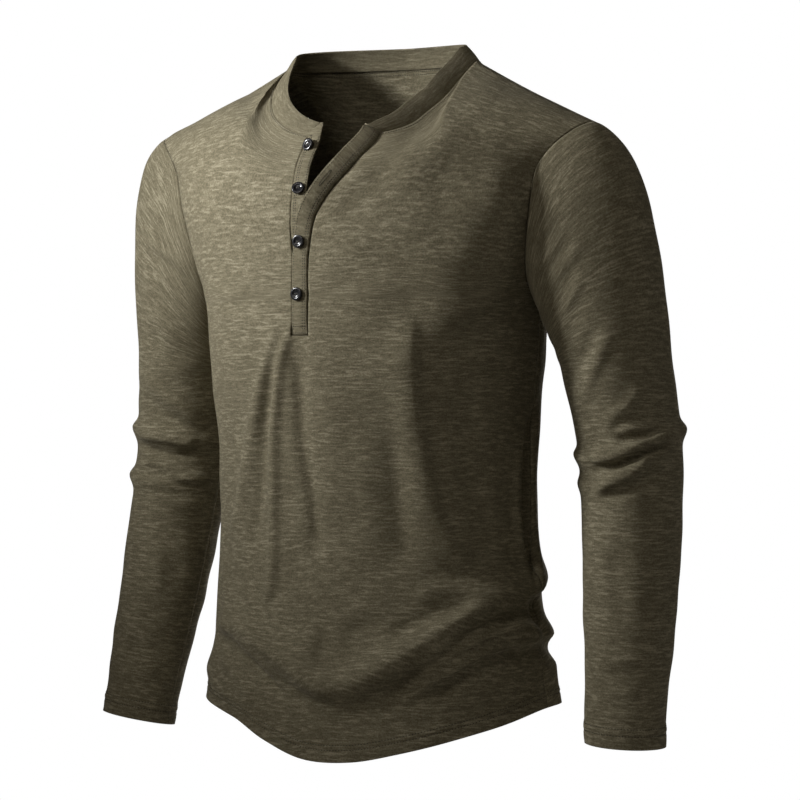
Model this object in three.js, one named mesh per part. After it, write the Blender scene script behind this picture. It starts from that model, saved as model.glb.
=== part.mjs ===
// A long-sleeved henley shirt in slub jersey, filled out as if it were worn.
//
// Millimetres. +Z is up, the front faces -Y and the wearer's left is +X. The origin is the middle of the
// shoulder line: halfway between the two points where the neckband crosses the shoulder seams.
//
// Every cloth piece is a wall of even thickness under a surface. The body's surface is a stack of level sections
// from the table FIGURE, with the table BODY_FOLDS raised on it. The front and back are cut from it along the
// hem, side seams, armholes, shoulder seams and neckline, and the sleeves run from the armholes to the cuffs.
//
// A place on the front or back is a column from -1, at the wearer's right edge, to 1, at the left edge, and a
// climb: 0 at the hem, 1 at the armpit, 2 at the yoke and 3 at the neckline or shoulder seam.
// A place on a sleeve is a turn in degrees, 0 on top, 90 in front, 180 at the armpit and 270 behind, and a
// drop: 0 at the armhole, 1 at the foot of the sleeve cap and 2 at the cuff.

import * as THREE from "three";

const { clamp, degToRad, lerp, smoothstep } = THREE.MathUtils;

// Cloth
const CLOTH = 1.6;
const BAND_CLOTH = 2.2; // neckband and plackets are doubled
const SEAM_GAP = 0.3;
const JERSEY = new THREE.MeshStandardMaterial({ color: 0x5b5744, roughness: 0.92, metalness: 0 });
const HORN = new THREE.MeshStandardMaterial({ color: 0x17171a, roughness: 0.22, metalness: 0 });

// Body
const ARMPIT_Z = -239;
const YOKE_Z = -117; // above this the body rolls over to the shoulder seam
const ARMHOLE_CUT = { front: 25, back: 21 }; // degrees that the armhole bites into each panel
const SHOULDER_TIP = { x: 250, forward: 12, z: -66 };
const SHOULDER_SAG = 2; // dip of the shoulder line between neck and tip
const SHOULDER_LEAN = 0.02; // the wearer's left shoulder is a little lower than the right
const BODY_RADIUS = 165; // turns degrees round the body into millimetres of cloth

// Neck
const NECK = { halfWidth: 112, squareness: 1.35, share: 0.36 }; // share of a panel's half width
const NECK_FRONT = { forward: 108, z: -80 };
const NECK_BACK = { forward: -62, z: 4 };
const BAND_HEIGHT = 21;
const BAND_CLEARANCE = 0.45; // over the neckline, where the two walls meet at an angle

// Placket
const SLOT_COLUMN = 0.05; // column at which the front is slit for the placket
const PLACKET_HALF = 9.5;
const PLACKET_FOOT_Z = -275;
const PLACKET_CLEARANCE = 0.65; // beside the slit, where the two walls meet at an angle
const OVER_WIDTH = 2 * PLACKET_HALF - 2 * PLACKET_CLEARANCE;
const UNDER_WIDTH = 15.5;
const PLACKET_CURVE = 225; // radius of the chest across the placket
const BUTTON = { radius: 6.35, height: 3, rim: 1.3, dish: 0.9, sides: 20 };

// Sleeves
const CAP_FOOT_Z = -307;
const CAP_FULLNESS = 0.82; // how far the cap bulges before it falls
const CUFF = { z: -663, rise: { left: -3, right: 7 } }; // rise of its outer front edge, left and right
const ELBOW = { top: -342, foot: -436 }; // where the folds are bunched
const ARM_RADIUS = 52; // turns degrees round the arm into millimetres of cloth

// Half width of the figure to its side seams, and its reach to the front and back.
const FIGURE = [
  { z: -720, half: 196, front: 142, back: 124 },
  { z: -650, half: 190, front: 137, back: 118 },
  { z: -570, half: 180, front: 130, back: 106 },
  { z: -480, half: 173, front: 128, back: 97 },
  { z: -390, half: 172, front: 134, back: 97 },
  { z: -300, half: 180, front: 144, back: 102 },
  { z: -239, half: 186, front: 145, back: 107 },
  { z: -190, half: 204, front: 144, back: 109 },
  { z: -140, half: 223, front: 137, back: 104 },
  { z: -90, half: 236, front: 121, back: 92 },
];

// Height of the hem round the body: 0 is the centre front, 90 the wearer's left side, 180 the centre back.
const HEM = [
  { angle: -180, z: -664 },
  { angle: -150, z: -652 },
  { angle: -115, z: -632 },
  { angle: -90, z: -630 },
  { angle: -60, z: -634 },
  { angle: -30, z: -647 },
  { angle: -15, z: -666 },
  { angle: 0, z: -682 },
  { angle: 15, z: -683 },
  { angle: 30, z: -674 },
  { angle: 60, z: -652 },
  { angle: 90, z: -634 },
  { angle: 115, z: -632 },
  { angle: 150, z: -652 },
  { angle: 180, z: -664 },
];

// Centre and half sizes of a sleeve below its cap.
const ARM = [
  { z: -680, x: 286, back: -20, across: 38, deep: 35 },
  { z: -640, x: 283, back: -14, across: 39, deep: 37 },
  { z: -530, x: 275, back: 12, across: 45, deep: 46 },
  { z: -450, x: 269, back: 27, across: 48, deep: 50 },
  { z: -385, x: 263, back: 35, across: 50, deep: 52 },
  { z: -307, x: 252, back: 29, across: 54, deep: 56 },
  { z: -250, x: 243, back: 22, across: 58, deep: 60 },
];

// The unbuttoned top. The wearer's left edge swings away and lifts, and its placket twists out. The right
// edge swings a little the other way.
const OPENING = [
  { z: -200, left: 0, lift: 0, twist: 0, right: 0 },
  { z: -178, left: 3, lift: 1, twist: 6, right: 3 },
  { z: -158, left: 9, lift: 3, twist: 24, right: 5 },
  { z: -135, left: 25, lift: 6, twist: 32, right: 6 },
  { z: -110, left: 46, lift: 7, twist: 34, right: 7 },
  { z: -78, left: 62, lift: 6, twist: 34, right: 7 },
  { z: -58, left: 44, lift: 4, twist: 34, right: 6 },
  { z: -30, left: 22, lift: 1, twist: 34, right: 3 },
  { z: 0, left: 0, lift: 0, twist: 34, right: 0 },
];

// How the neckband leans in and rises from its seam, round the neck: 0 in front, 90 at the side, 180 behind.
const BAND_LEAN = [
  { angle: 0, inward: 0.75, up: 0.66 },
  { angle: 45, inward: 0.7, up: 0.71 },
  { angle: 90, inward: 0.7, up: 0.71 },
  { angle: 135, inward: 0.5, up: 0.86 },
  { angle: 180, inward: 0.5, up: 0.86 },
];

// The largest folds of the body, each a ridge along a bowed line between two places (degrees, z). Its slopes
// reach so far to the left and right of someone who walks along it.
const BODY_FOLDS = [
  { from: [116, -500], to: [14, -624], bow: -16, left: 9, right: 18, rise: 9 },
  { from: [14, -624], to: [-46, -556], bow: 0, left: 10, right: 16, rise: 7 },
  { from: [118, -566], to: [31, -621], bow: -22, left: 8, right: 14, rise: 9 },
  { from: [103, -585], to: [100, -650], bow: 0, left: 30, right: 30, rise: 8 },
  { from: [-70, -600], to: [-20, -640], bow: 4, left: 14, right: 10, rise: 4 },
  { from: [150, -560], to: [215, -590], bow: 10, left: 16, right: 12, rise: 6 },
  { from: [250, -545], to: [180, -610], bow: 12, left: 18, right: 14, rise: 5 },
];

// The bunches at the elbows, in the same way, with turns and heights.
const ARM_FOLDS = [
  { hand: 1, from: [-42, -360], to: [118, -394], bow: 0, left: 6, right: 10, rise: 6 },
  { hand: 1, from: [18, -386], to: [106, -427], bow: 5, left: 5, right: 8, rise: 5 },
  { hand: 1, from: [112, -396], to: [208, -380], bow: 0, left: 6, right: 9, rise: 5 },
  { hand: 1, from: [122, -420], to: [200, -412], bow: 0, left: 7, right: 8, rise: 3 },
  { hand: -1, from: [-10, -358], to: [142, -376], bow: 4, left: 7, right: 11, rise: 6 },
  { hand: -1, from: [-6, -403], to: [160, -417], bow: -5, left: 7, right: 10, rise: 6 },
  { hand: -1, from: [140, -376], to: [220, -384], bow: 0, left: 8, right: 9, rise: 4 },
];

// How steeply, in degrees, the front and back run into the neckline and shoulder seam, from centre to sleeve.
const EDGE_PITCH = [
  { share: 0, front: 65, back: 68 },
  { share: 0.2, front: 52, back: 50 },
  { share: 0.36, front: 32, back: 26 },
  { share: 0.8, front: 0, back: 0 },
  { share: 1, front: 0, back: 0 },
];

/** A cubic from one value and slope to another, for a share from 0 to 1. */
function cubic(from, slopeFrom, to, slopeTo, share) {
  const square = share * share;
  const cube = square * share;
  const start = (2 * cube - 3 * square + 1) * from + (cube - 2 * square + share) * slopeFrom;
  return start + (3 * square - 2 * cube) * to + (cube - square) * slopeTo;
}

/** The same cubic between two points. */
function cubicPoint(from, slopeFrom, to, slopeTo, share) {
  const size = (axis) => cubic(from[axis], slopeFrom[axis], to[axis], slopeTo[axis], share);
  return new THREE.Vector3(size("x"), size("y"), size("z"));
}

/** Reads a column of a table where its key column has a value, on a smooth curve through the rows. */
function along(table, key, value, column) {
  let low = 0;
  while (low < table.length - 2 && value > table[low + 1][key]) low += 1;
  const rows = [-1, 0, 1, 2].map((step) => table[clamp(low + step, 0, table.length - 1)]);
  const span = rows[2][key] - rows[1][key];
  const slope = (a, b) => ((b[column] - a[column]) / (b[key] - a[key])) * span;
  const share = clamp((value - rows[1][key]) / span, 0, 1);
  return cubic(rows[1][column], slope(rows[0], rows[2]), rows[2][column], slope(rows[1], rows[3]), share);
}

/** How far the folds of a table lift the cloth at an angle and height. */
function foldRise(folds, radius, angle, z) {
  let total = 0;
  for (const fold of folds) {
    const run = new THREE.Vector2(degToRad(fold.to[0] - fold.from[0]) * radius, fold.to[1] - fold.from[1]);
    const round = THREE.MathUtils.euclideanModulo(angle - fold.from[0] + 180, 360) - 180;
    const place = new THREE.Vector2(degToRad(round) * radius, z - fold.from[1]);
    const share = place.dot(run) / run.lengthSq();
    const inside = clamp(share, 0, 1);
    const aside = run.cross(place) / run.length() - fold.bow * 4 * inside * (1 - inside);
    const fade = smoothstep(share, -0.12, 0.14) * (1 - smoothstep(share, 0.86, 1.12));
    total += fold.rise * fade * Math.exp(-((aside / (aside > 0 ? fold.left : fold.right)) ** 2));
  }
  return total;
}

/** Lowers the wearer's left shoulder and raises the right one, less and less down to the chest. */
function lean(point) {
  point.z -= SHOULDER_LEAN * point.x * smoothstep(point.z, -320, -100);
  return point;
}

/** Parts the front where it is unbuttoned. The hand is 1 for the wearer's left side and -1 for the right. */
function part(point, hand) {
  const offEdge = Math.max(hand * point.x - PLACKET_HALF, 0);
  const inFront = smoothstep(-point.y, 0, 60);
  const swing = along(OPENING, "z", point.z, hand > 0 ? "left" : "right");
  const lift = hand > 0 ? along(OPENING, "z", point.z, "lift") : 0;
  point.x += hand * swing * inFront * (1 - smoothstep(offEdge, 0, 180));
  point.y -= lift * inFront * (1 - smoothstep(offEdge, 0, 45));
  return point;
}

/** A point of the body's surface at an angle from the centre front and a height, before it is parted. */
function bodyPoint(angle, z) {
  const turn = degToRad(angle);
  const half = along(FIGURE, "z", z, "half");
  const reach = along(FIGURE, "z", z, Math.cos(turn) > 0 ? "front" : "back");
  const outward = new THREE.Vector3(Math.sin(turn) / half, -Math.cos(turn) / reach, 0).normalize();
  const rise = foldRise(BODY_FOLDS, BODY_RADIUS, angle, z);
  return outward.multiplyScalar(rise).add(new THREE.Vector3(half * Math.sin(turn), -reach * Math.cos(turn), z));
}

/** The share of a panel's half width at which its slit lies, so that the slit is straight. */
function slotShare(climb) {
  if (climb > 2) {
    const turn = Math.asin((PLACKET_HALF / NECK.halfWidth) ** (1 / NECK.squareness));
    return (turn / (Math.PI / 2)) * NECK.share;
  }
  const { halfAngle, z } = panelLevel("front", climb);
  return Math.asin(PLACKET_HALF / along(FIGURE, "z", z, "half")) / degToRad(halfAngle);
}

/** The share of a panel's half width for a column, from 0 in the middle to 1 at the edge. */
function shareOf(side, column, climb) {
  const size = Math.abs(column);
  if (side === "back") return size;
  const slot = slotShare(climb);
  if (size < SLOT_COLUMN) return (size / SLOT_COLUMN) * slot;
  return lerp(slot, 1, (size - SLOT_COLUMN) / (1 - SLOT_COLUMN));
}

/** The height of a level between armpit and yoke, and half the angle that a panel spans there. */
function panelLevel(side, climb) {
  const quarter = degToRad(90 * clamp(climb - 1, 0, 1));
  return {
    halfAngle: 90 - ARMHOLE_CUT[side] * Math.sin(quarter),
    z: lerp(ARMPIT_Z, YOKE_Z, 1 - Math.cos(quarter)),
  };
}

/** The angle and height of a place on a panel that is not above the yoke. */
function panelPlace(side, column, climb) {
  const level = panelLevel(side, climb);
  const swing = Math.sign(column) * shareOf(side, column, climb) * level.halfAngle;
  const angle = side === "front" ? swing : Math.sign(column) * 180 - swing;
  const hem = along(HEM, "angle", angle, "z");
  return { angle, z: climb < 1 ? lerp(hem, ARMPIT_Z, climb) : level.z };
}

/** A point of the neckline or the shoulder seam. */
function upperEdge(side, column) {
  const share = shareOf(side, column, 3);
  const hand = Math.sign(column);
  if (share >= NECK.share) {
    const run = (share - NECK.share) / (1 - NECK.share);
    const sag = SHOULDER_SAG * Math.sin(Math.PI * run);
    const x = lerp(NECK.halfWidth, SHOULDER_TIP.x, run);
    return new THREE.Vector3(hand * x, -SHOULDER_TIP.forward * run, SHOULDER_TIP.z * run - sag);
  }
  const neck = side === "front" ? NECK_FRONT : NECK_BACK;
  const turn = (share / NECK.share) * (Math.PI / 2);
  const x = hand * NECK.halfWidth * Math.sin(turn) ** NECK.squareness;
  return new THREE.Vector3(x, -neck.forward * Math.cos(turn), neck.z * Math.cos(turn));
}

/** Which way a panel runs as it meets its upper edge: over the shoulder, or up the neck. */
function upperEdgeRun(side, column) {
  const share = shareOf(side, column, 3);
  const pitch = along(EDGE_PITCH, "share", share, side);
  return new THREE.Vector3(0, (side === "front" ? 1 : -1) * Math.cos(degToRad(pitch)), Math.sin(degToRad(pitch)));
}

/** A point of the front or back. */
function panelPoint(side, column, climb) {
  const hand = Math.sign(column) || 1;
  const place = panelPlace(side, column, Math.min(climb, 2));
  let point = bodyPoint(place.angle, place.z);
  if (climb > 2) {
    const foot = point;
    const top = upperEdge(side, column);
    const reach = foot.distanceTo(top);
    const rise = bodyPoint(place.angle, place.z + 1).sub(foot).setLength(reach);
    point = cubicPoint(foot, rise, top, upperEdgeRun(side, column).setLength(reach), climb - 2);
  }
  return lean(side === "front" ? part(point, hand) : point);
}

/** The outward normal of a surface, from short steps that stay between its ends. */
function surfaceNormal(surface, column, row, ends) {
  const step = 1e-3;
  const across = surface(Math.min(column + step, ends.right), row).sub(
    surface(Math.max(column - step, ends.left), row),
  );
  const upward = surface(column, Math.min(row + step, ends.last)).sub(surface(column, Math.max(row - step, 0)));
  return across.cross(upward).normalize();
}

/** The outward normal of the front or back. */
function panelNormal(side, column, climb) {
  const outward = side === "front" ? 1 : -1;
  if (climb < 2) {
    const hand = Math.sign(column) || 1;
    const place = panelPlace(side, column, climb);
    const skin = (angle, z) => lean(side === "front" ? part(bodyPoint(angle, z), hand) : bodyPoint(angle, z));
    const across = skin(place.angle + 0.1, place.z).sub(skin(place.angle - 0.1, place.z));
    return across.cross(skin(place.angle, place.z + 0.2).sub(skin(place.angle, place.z - 0.2))).normalize();
  }
  if (climb > 3 - 0.01 && shareOf(side, column, 3) >= NECK.share) {
    const slope = SHOULDER_TIP.z / (SHOULDER_TIP.x - NECK.halfWidth);
    return new THREE.Vector3(-Math.sign(column) * slope, 0, 1).normalize();
  }
  const ends = { left: column > 0 ? 1e-6 : -1, right: column > 0 ? 1 : -1e-6, last: 3 };
  return surfaceNormal((c, r) => panelPoint(side, c, r), column, climb, ends).multiplyScalar(outward);
}

/** The panel, column and climb of a place on an armhole. */
function armholePlace(hand, turn) {
  const fold = THREE.MathUtils.euclideanModulo(turn, 360);
  const behind = fold > 180;
  return { side: behind ? "back" : "front", column: hand, climb: 3 - (behind ? 360 - fold : fold) / 90 };
}

/** The start of a sleeve: a point on the armhole, just clear of its edge, and the way that the cloth leaves. */
function sleeveStart(hand, turn) {
  const { side, column, climb } = armholePlace(hand, turn);
  const cos = Math.cos(degToRad(turn));
  const sin = Math.sin(degToRad(turn));
  const edge = panelPoint(side, column, climb);
  const normal = panelNormal(side, column, climb);
  const onward = armholePoint(hand, turn + 1).sub(armholePoint(hand, turn - 1));
  const aside = normal.clone().cross(onward).setLength(hand * SEAM_GAP);
  const low = (1 - cos) / 2;
  const run = new THREE.Vector3(hand * (0.56 + 0.34 * cos), 0.1 - 0.15 * sin, -(0.68 - 0.33 * cos)).normalize();
  return { point: edge.add(aside).addScaledVector(normal, 0.4 * low), run, normal, low };
}

/** A point on the edge of an armhole. */
function armholePoint(hand, turn) {
  const { side, column, climb } = armholePlace(hand, turn);
  return panelPoint(side, column, climb);
}

/** A point of a sleeve below its cap, before it is folded. */
function armPoint(hand, turn, z) {
  const angle = degToRad(turn);
  const size = (column) => along(ARM, "z", z, column);
  const x = size("x") + size("across") * Math.cos(angle);
  return lean(new THREE.Vector3(hand * x, size("back") - size("deep") * Math.sin(angle), z));
}

/** Height of a cuff's edge, which rises on one side. */
function cuffZ(hand, turn) {
  return CUFF.z + (hand > 0 ? CUFF.rise.left : CUFF.rise.right) * Math.cos(degToRad(turn - 32));
}

/** A point of a sleeve. */
function sleevePoint(hand, turn, drop) {
  let point;
  if (drop < 1) {
    const start = sleeveStart(hand, turn);
    const end = armPoint(hand, turn, CAP_FOOT_Z);
    const reach = CAP_FULLNESS * start.point.distanceTo(end);
    const fall = armPoint(hand, turn, CAP_FOOT_Z - 1).sub(end).setLength(reach);
    point = cubicPoint(start.point, start.run.setLength(reach), end, fall, drop);
  } else {
    point = armPoint(hand, turn, lerp(CAP_FOOT_Z, cuffZ(hand, turn), drop - 1));
  }
  const folds = ARM_FOLDS.filter((fold) => fold.hand === hand);
  const rise = foldRise(folds, ARM_RADIUS, turn, point.z) * smoothstep(drop, 0.2, 0.8);
  point.x += hand * rise * Math.cos(degToRad(turn));
  point.y -= rise * Math.sin(degToRad(turn));
  return point;
}

/** The strip of a placket: across runs from 0 at its seam to 1 at its free edge. */
function placketPoint(hand, across, climb) {
  const column = hand * SLOT_COLUMN;
  const edge = panelPoint("front", column, climb);
  const normal = panelNormal("front", column, climb);
  const upward = panelPoint("front", column, Math.min(climb + 1e-3, 3)).sub(
    panelPoint("front", column, climb - 1e-3),
  );
  const inward = normal.clone().cross(upward).setLength(hand);
  const z = panelPlace("front", column, Math.min(climb, 2)).z;
  const twist = hand > 0 ? degToRad(along(OPENING, "z", climb > 2 ? edge.z : z, "twist")) : 0;
  const reach = PLACKET_CLEARANCE + across * (hand > 0 ? OVER_WIDTH : UNDER_WIDTH);
  const proud = placketHeight(hand, across, edge.z);
  const droop = reach ** 2 / (2 * PLACKET_CURVE);
  return edge
    .addScaledVector(inward, reach * Math.cos(twist))
    .addScaledVector(normal, reach * Math.sin(twist) + proud - droop);
}

/** How proud of the front a placket's outer face is. Buttoned, the left one lies on the right one. */
function placketHeight(hand, across, z) {
  const over = lerp(0.5, 1.6, smoothstep(z, PLACKET_FOOT_Z, PLACKET_FOOT_Z + 20));
  if (hand > 0) return lerp(0.3, over, Math.min(across / 0.14, 1));
  const under = over - BAND_CLOTH - 0.6;
  return lerp(under, 0.3, smoothstep(z, -192, -165));
}

/** One closed mesh from a grid of outer points, the inner points under them, and the cells that are cut out. */
function shell(name, outer, inner, { closed = false, isCut = () => false } = {}) {
  const columns = outer.length;
  const rows = outer[0].length;
  const positions = [...outer.flat(), ...inner.flat()].flatMap((point) => point.toArray());
  const wrap = (i) => (closed ? (i + columns) % columns : i);
  const at = (i, j, layer = 0) => layer * columns * rows + wrap(i) * rows + j;
  const lastColumn = closed ? columns : columns - 1;
  const isThere = (i, j) => {
    const inside = j >= 0 && j < rows - 1 && (closed || (i >= 0 && i < lastColumn));
    return inside && !isCut(wrap(i), j);
  };
  const faces = [];
  const quad = (a, b, c, d) => faces.push(a, b, c, a, c, d);
  for (let i = 0; i < lastColumn; i += 1) {
    for (let j = 0; j < rows - 1; j += 1) {
      if (!isThere(i, j)) continue;
      quad(at(i, j), at(i + 1, j), at(i + 1, j + 1), at(i, j + 1));
      quad(at(i, j, 1), at(i, j + 1, 1), at(i + 1, j + 1, 1), at(i + 1, j, 1));
      const wall = (i1, j1, i2, j2) => quad(at(i2, j2), at(i1, j1), at(i1, j1, 1), at(i2, j2, 1));
      if (!isThere(i, j - 1)) wall(i, j, i + 1, j);
      if (!isThere(i + 1, j)) wall(i + 1, j, i + 1, j + 1);
      if (!isThere(i, j + 1)) wall(i + 1, j + 1, i, j + 1);
      if (!isThere(i - 1, j)) wall(i, j + 1, i, j);
    }
  }
  const geometry = new THREE.BufferGeometry();
  geometry.setAttribute("position", new THREE.Float32BufferAttribute(positions, 3));
  geometry.setIndex(faces);
  geometry.computeVertexNormals();
  const mesh = new THREE.Mesh(geometry, JERSEY);
  mesh.name = name;
  return mesh;
}

/** Evenly spaced numbers from one to another, both included. */
const steps = (from, to, count) => Array.from({ length: count + 1 }, (_, i) => lerp(from, to, i / count));

// Rows of both panels. One row lies at the foot of the placket.
const slotRow = (PLACKET_FOOT_Z - along(HEM, "angle", 0, "z")) / (ARMPIT_Z - along(HEM, "angle", 0, "z"));
const EDGE_CLEARANCE = 0.003; // climb that leaves half a seam gap along the shoulder
const PANEL_ROWS = [
  ...steps(0, slotRow, 19),
  ...steps(slotRow, 1, 2).slice(1),
  ...steps(1, 3 - EDGE_CLEARANCE, 12).slice(1),
];

// Columns of one half of a panel, as shares of its half width. One of them meets the neck point.
const EDGE_SHARE = 0.9991; // leaves half a seam gap at the side seam
const backShares = [...steps(0, NECK.share, 4), ...steps(NECK.share, EDGE_SHARE, 5).slice(1)];
const frontShares = [...steps(slotShare(3), NECK.share, 4), ...steps(NECK.share, EDGE_SHARE, 5).slice(1)];

/** The front's column for a share of its half width at the upper edge. */
function frontColumn(share) {
  const slot = slotShare(3);
  return SLOT_COLUMN + ((share - slot) / (1 - slot)) * (1 - SLOT_COLUMN);
}

/** The front: one piece, slit for the placket. */
function makeFront() {
  const half = frontShares.map(frontColumn);
  const columns = [...half.map((column) => -column).reverse(), ...half];
  const outer = columns.map((column) => PANEL_ROWS.map((climb) => panelPoint("front", column, climb)));
  const inner = columns.map((column, i) =>
    PANEL_ROWS.map((climb, j) => outer[i][j].clone().addScaledVector(panelNormal("front", column, climb), -CLOTH)),
  );
  const isCut = (i, j) => i === half.length - 1 && PANEL_ROWS[j] > slotRow - 1e-9;
  return shell("front", outer, inner, { isCut });
}

/** The back: one piece. */
function makeBack() {
  const half = backShares.slice(1);
  const columns = [...half.toReversed(), 1e-6, ...half.map((share) => -share)];
  const outer = columns.map((column) => PANEL_ROWS.map((climb) => panelPoint("back", column, climb)));
  const inner = columns.map((column, i) =>
    PANEL_ROWS.map((climb, j) => outer[i][j].clone().addScaledVector(panelNormal("back", column, climb), -CLOTH)),
  );
  return shell("back", outer, inner);
}

/** A sleeve, from the armhole to the cuff. */
function makeSleeve(hand) {
  const turns = steps(0, 360, 24)
    .slice(0, -1)
    .map((turn) => hand * turn);
  const dropTo = (z) => 1 + (CAP_FOOT_Z - z) / (CAP_FOOT_Z - CUFF.z);
  const drops = [
    ...steps(0, 1, 8),
    ...steps(1, dropTo(ELBOW.top), 2).slice(1),
    ...steps(dropTo(ELBOW.top), dropTo(ELBOW.foot), 12).slice(1),
    ...steps(dropTo(ELBOW.foot), 2, 8).slice(1),
  ];
  const outer = turns.map((turn) => drops.map((drop) => sleevePoint(hand, turn, drop)));
  const inner = turns.map((turn, i) =>
    drops.map((drop, j) => {
      const normal = sleeveNormal(hand, turn, drop);
      return outer[i][j].clone().addScaledVector(normal, -CLOTH);
    }),
  );
  return shell(hand > 0 ? "sleeve_left" : "sleeve_right", outer, inner, { closed: true });
}

/** The outward normal of a sleeve. At the armhole it turns into that of the panel. */
function sleeveNormal(hand, turn, drop) {
  const around = sleevePoint(hand, turn + 1, drop).sub(sleevePoint(hand, turn - 1, drop));
  const down = sleevePoint(hand, turn, Math.min(drop + 1e-3, 2)).sub(
    sleevePoint(hand, turn, Math.max(drop - 1e-3, 0)),
  );
  const normal = around.cross(down).setLength(hand);
  if (drop > 0) return normal;
  const start = sleeveStart(hand, turn);
  return normal.lerp(start.normal, 1 - start.low).normalize();
}

/** A placket strip, with its foot just above the end of the slit. */
function makePlacket(hand) {
  const across = hand > 0 ? [1, 0.57, 0.14, 0] : [0, 0.5, 1];
  const foot = slotRow + (1 - slotRow) * (PLACKET_CLEARANCE / (ARMPIT_Z - PLACKET_FOOT_Z));
  const climbs = [foot, ...PANEL_ROWS.filter((climb) => climb > slotRow + 1e-9)];
  const outer = across.map((share) => climbs.map((climb) => placketPoint(hand, share, climb)));
  const inner = across.map((share, i) =>
    climbs.map((climb, j) => outer[i][j].clone().addScaledVector(placketNormal(hand, share, climb), -BAND_CLOTH)),
  );
  return shell(hand > 0 ? "placket_over" : "placket_under", outer, inner);
}

/** The outward normal of a placket strip. */
function placketNormal(hand, across, climb) {
  const inward = placketPoint(hand, 1, climb).sub(placketPoint(hand, 0.14, climb));
  const upward = placketPoint(hand, across, Math.min(climb + 1e-3, 3)).sub(
    placketPoint(hand, across, climb - 1e-3),
  );
  return upward.cross(inward).setLength(hand);
}

/** The neckband: one strip from the top of the left placket, round the neck, to the free edge of the right one. */
function makeNeckband() {
  const station = (side, column) => ({
    point: panelPoint(side, column, 3),
    normal: panelNormal(side, column, 3),
    angle: side === "front" ? (shareOf(side, column, 3) / NECK.share) * 90 : 180 - (Math.abs(column) / NECK.share) * 90,
  });
  const frontColumns = frontShares.filter((share) => share <= NECK.share).map(frontColumn);
  const backColumns = backShares.slice(1).filter((share) => share <= NECK.share);
  const left = frontColumns.map((column) => station("front", column));
  const back = [...backColumns.toReversed().slice(1), 1e-6, ...backColumns.slice(0, -1).map((share) => -share)];
  const right = frontColumns.toReversed().map((column) => station("front", -column));
  const end = [0.5, 1].map((across) => ({
    point: placketPoint(-1, across, 3),
    normal: placketNormal(-1, across, 3),
    angle: 0,
  }));
  const stations = [...left, ...back.map((column) => station("back", column)), ...right, ...end];
  const placketSide = placketPoint(1, 1, 3).sub(placketPoint(1, 0, 3)).normalize();
  stations.forEach((place, i) => {
    const next = stations[Math.min(i + 1, stations.length - 1)].point;
    const previous = stations[Math.max(i - 1, 0)].point;
    place.along = next.clone().sub(previous).normalize();
    const inward = new THREE.Vector3(-place.along.y, place.along.x, 0).normalize();
    const rise = (column) => along(BAND_LEAN, "angle", place.angle, column);
    place.up = inward.multiplyScalar(rise("inward")).add(new THREE.Vector3(0, 0, rise("up")));
    const toPlacket = 1 - smoothstep(i, 0, left.length - 1);
    place.up.lerp(placketSide, i < left.length ? toPlacket : 0);
    place.up.addScaledVector(place.along, -place.up.dot(place.along) * (1 - toPlacket)).normalize();
  });
  const placketUp = placketPoint(1, 0.5, 3).sub(placketPoint(1, 0.5, 2.99));
  stations[0].point.add(placketUp.setLength(4 * SEAM_GAP));
  stations[0].face = placketNormal(1, 0.5, 3);
  const levels = steps(0, 1, 3).map((share) => BAND_CLEARANCE + share * BAND_HEIGHT);
  const outer = stations.map((place) => levels.map((level) => place.point.clone().addScaledVector(place.up, level)));
  const inner = stations.map((place, i) =>
    levels.map((level, j) => {
      const face = place.face ?? place.along.clone().cross(place.up).normalize();
      const normal = j === 0 && i > 0 ? place.normal : face;
      return outer[i][j].clone().addScaledVector(normal, -BAND_CLOTH);
    }),
  );
  return shell("neckband", outer, inner);
}

/** A button with a raised rim round a shallow dish, a seat's height over the curve of its placket. */
function makeButton(name, { hand, across, z, seat }) {
  const { radius, height, rim, dish, sides } = BUTTON;
  const climb = climbAt(hand, z);
  const profile = [
    [0, 0],
    [radius - 0.9, 0],
    [radius, 0.9],
    [radius, height - 0.7],
    [radius - 0.6, height],
    [radius - rim, height],
    [radius - rim - 0.8, height - dish],
    [0, height - dish],
  ].map(([x, y]) => new THREE.Vector2(x, y));
  const mesh = new THREE.Mesh(new THREE.LatheGeometry(profile, sides), HORN);
  const normal = placketNormal(hand, across, climb);
  mesh.name = name;
  mesh.position.copy(placketPoint(hand, across, climb)).addScaledVector(normal, seat);
  mesh.quaternion.setFromUnitVectors(new THREE.Vector3(0, 1, 0), normal);
  return mesh;
}

/** The climb at which the placket's middle reaches a height. */
function climbAt(hand, z) {
  let low = slotRow;
  let high = 3;
  while (high - low > 1e-4) {
    const middle = (low + high) / 2;
    if (placketPoint(hand, 0.5, middle).z < z) low = middle;
    else high = middle;
  }
  return low;
}

// Top down: the first two lie open on the right placket, the others are fastened through the left one.
const BUTTONS = [
  { hand: -1, across: 0.42, z: -89, seat: 0.5 },
  { hand: -1, across: 0.46, z: -133, seat: -0.3 },
  { hand: 1, across: 0.62, z: -185, seat: 0.58 },
  { hand: 1, across: 0.62, z: -235, seat: 0.3 },
];

const shirt = new THREE.Group();
shirt.add(makeFront(), makeBack(), makeSleeve(1), makeSleeve(-1), makeNeckband(), makePlacket(1), makePlacket(-1));
BUTTONS.forEach((button, i) => shirt.add(makeButton(`button_${i + 1}`, button)));

export default shirt;
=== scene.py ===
"""A long-sleeved henley shirt in slub jersey, filled out as if it were worn.

Lengths are millimetres until a mesh is made. +Z is up, the front faces -Y and the wearer's left is +X.
"""

import logging
import math
from dataclasses import dataclass
from enum import IntEnum
from typing import Callable

import bmesh
import bpy
import numpy as np
from mathutils import Matrix, Vector


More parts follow.
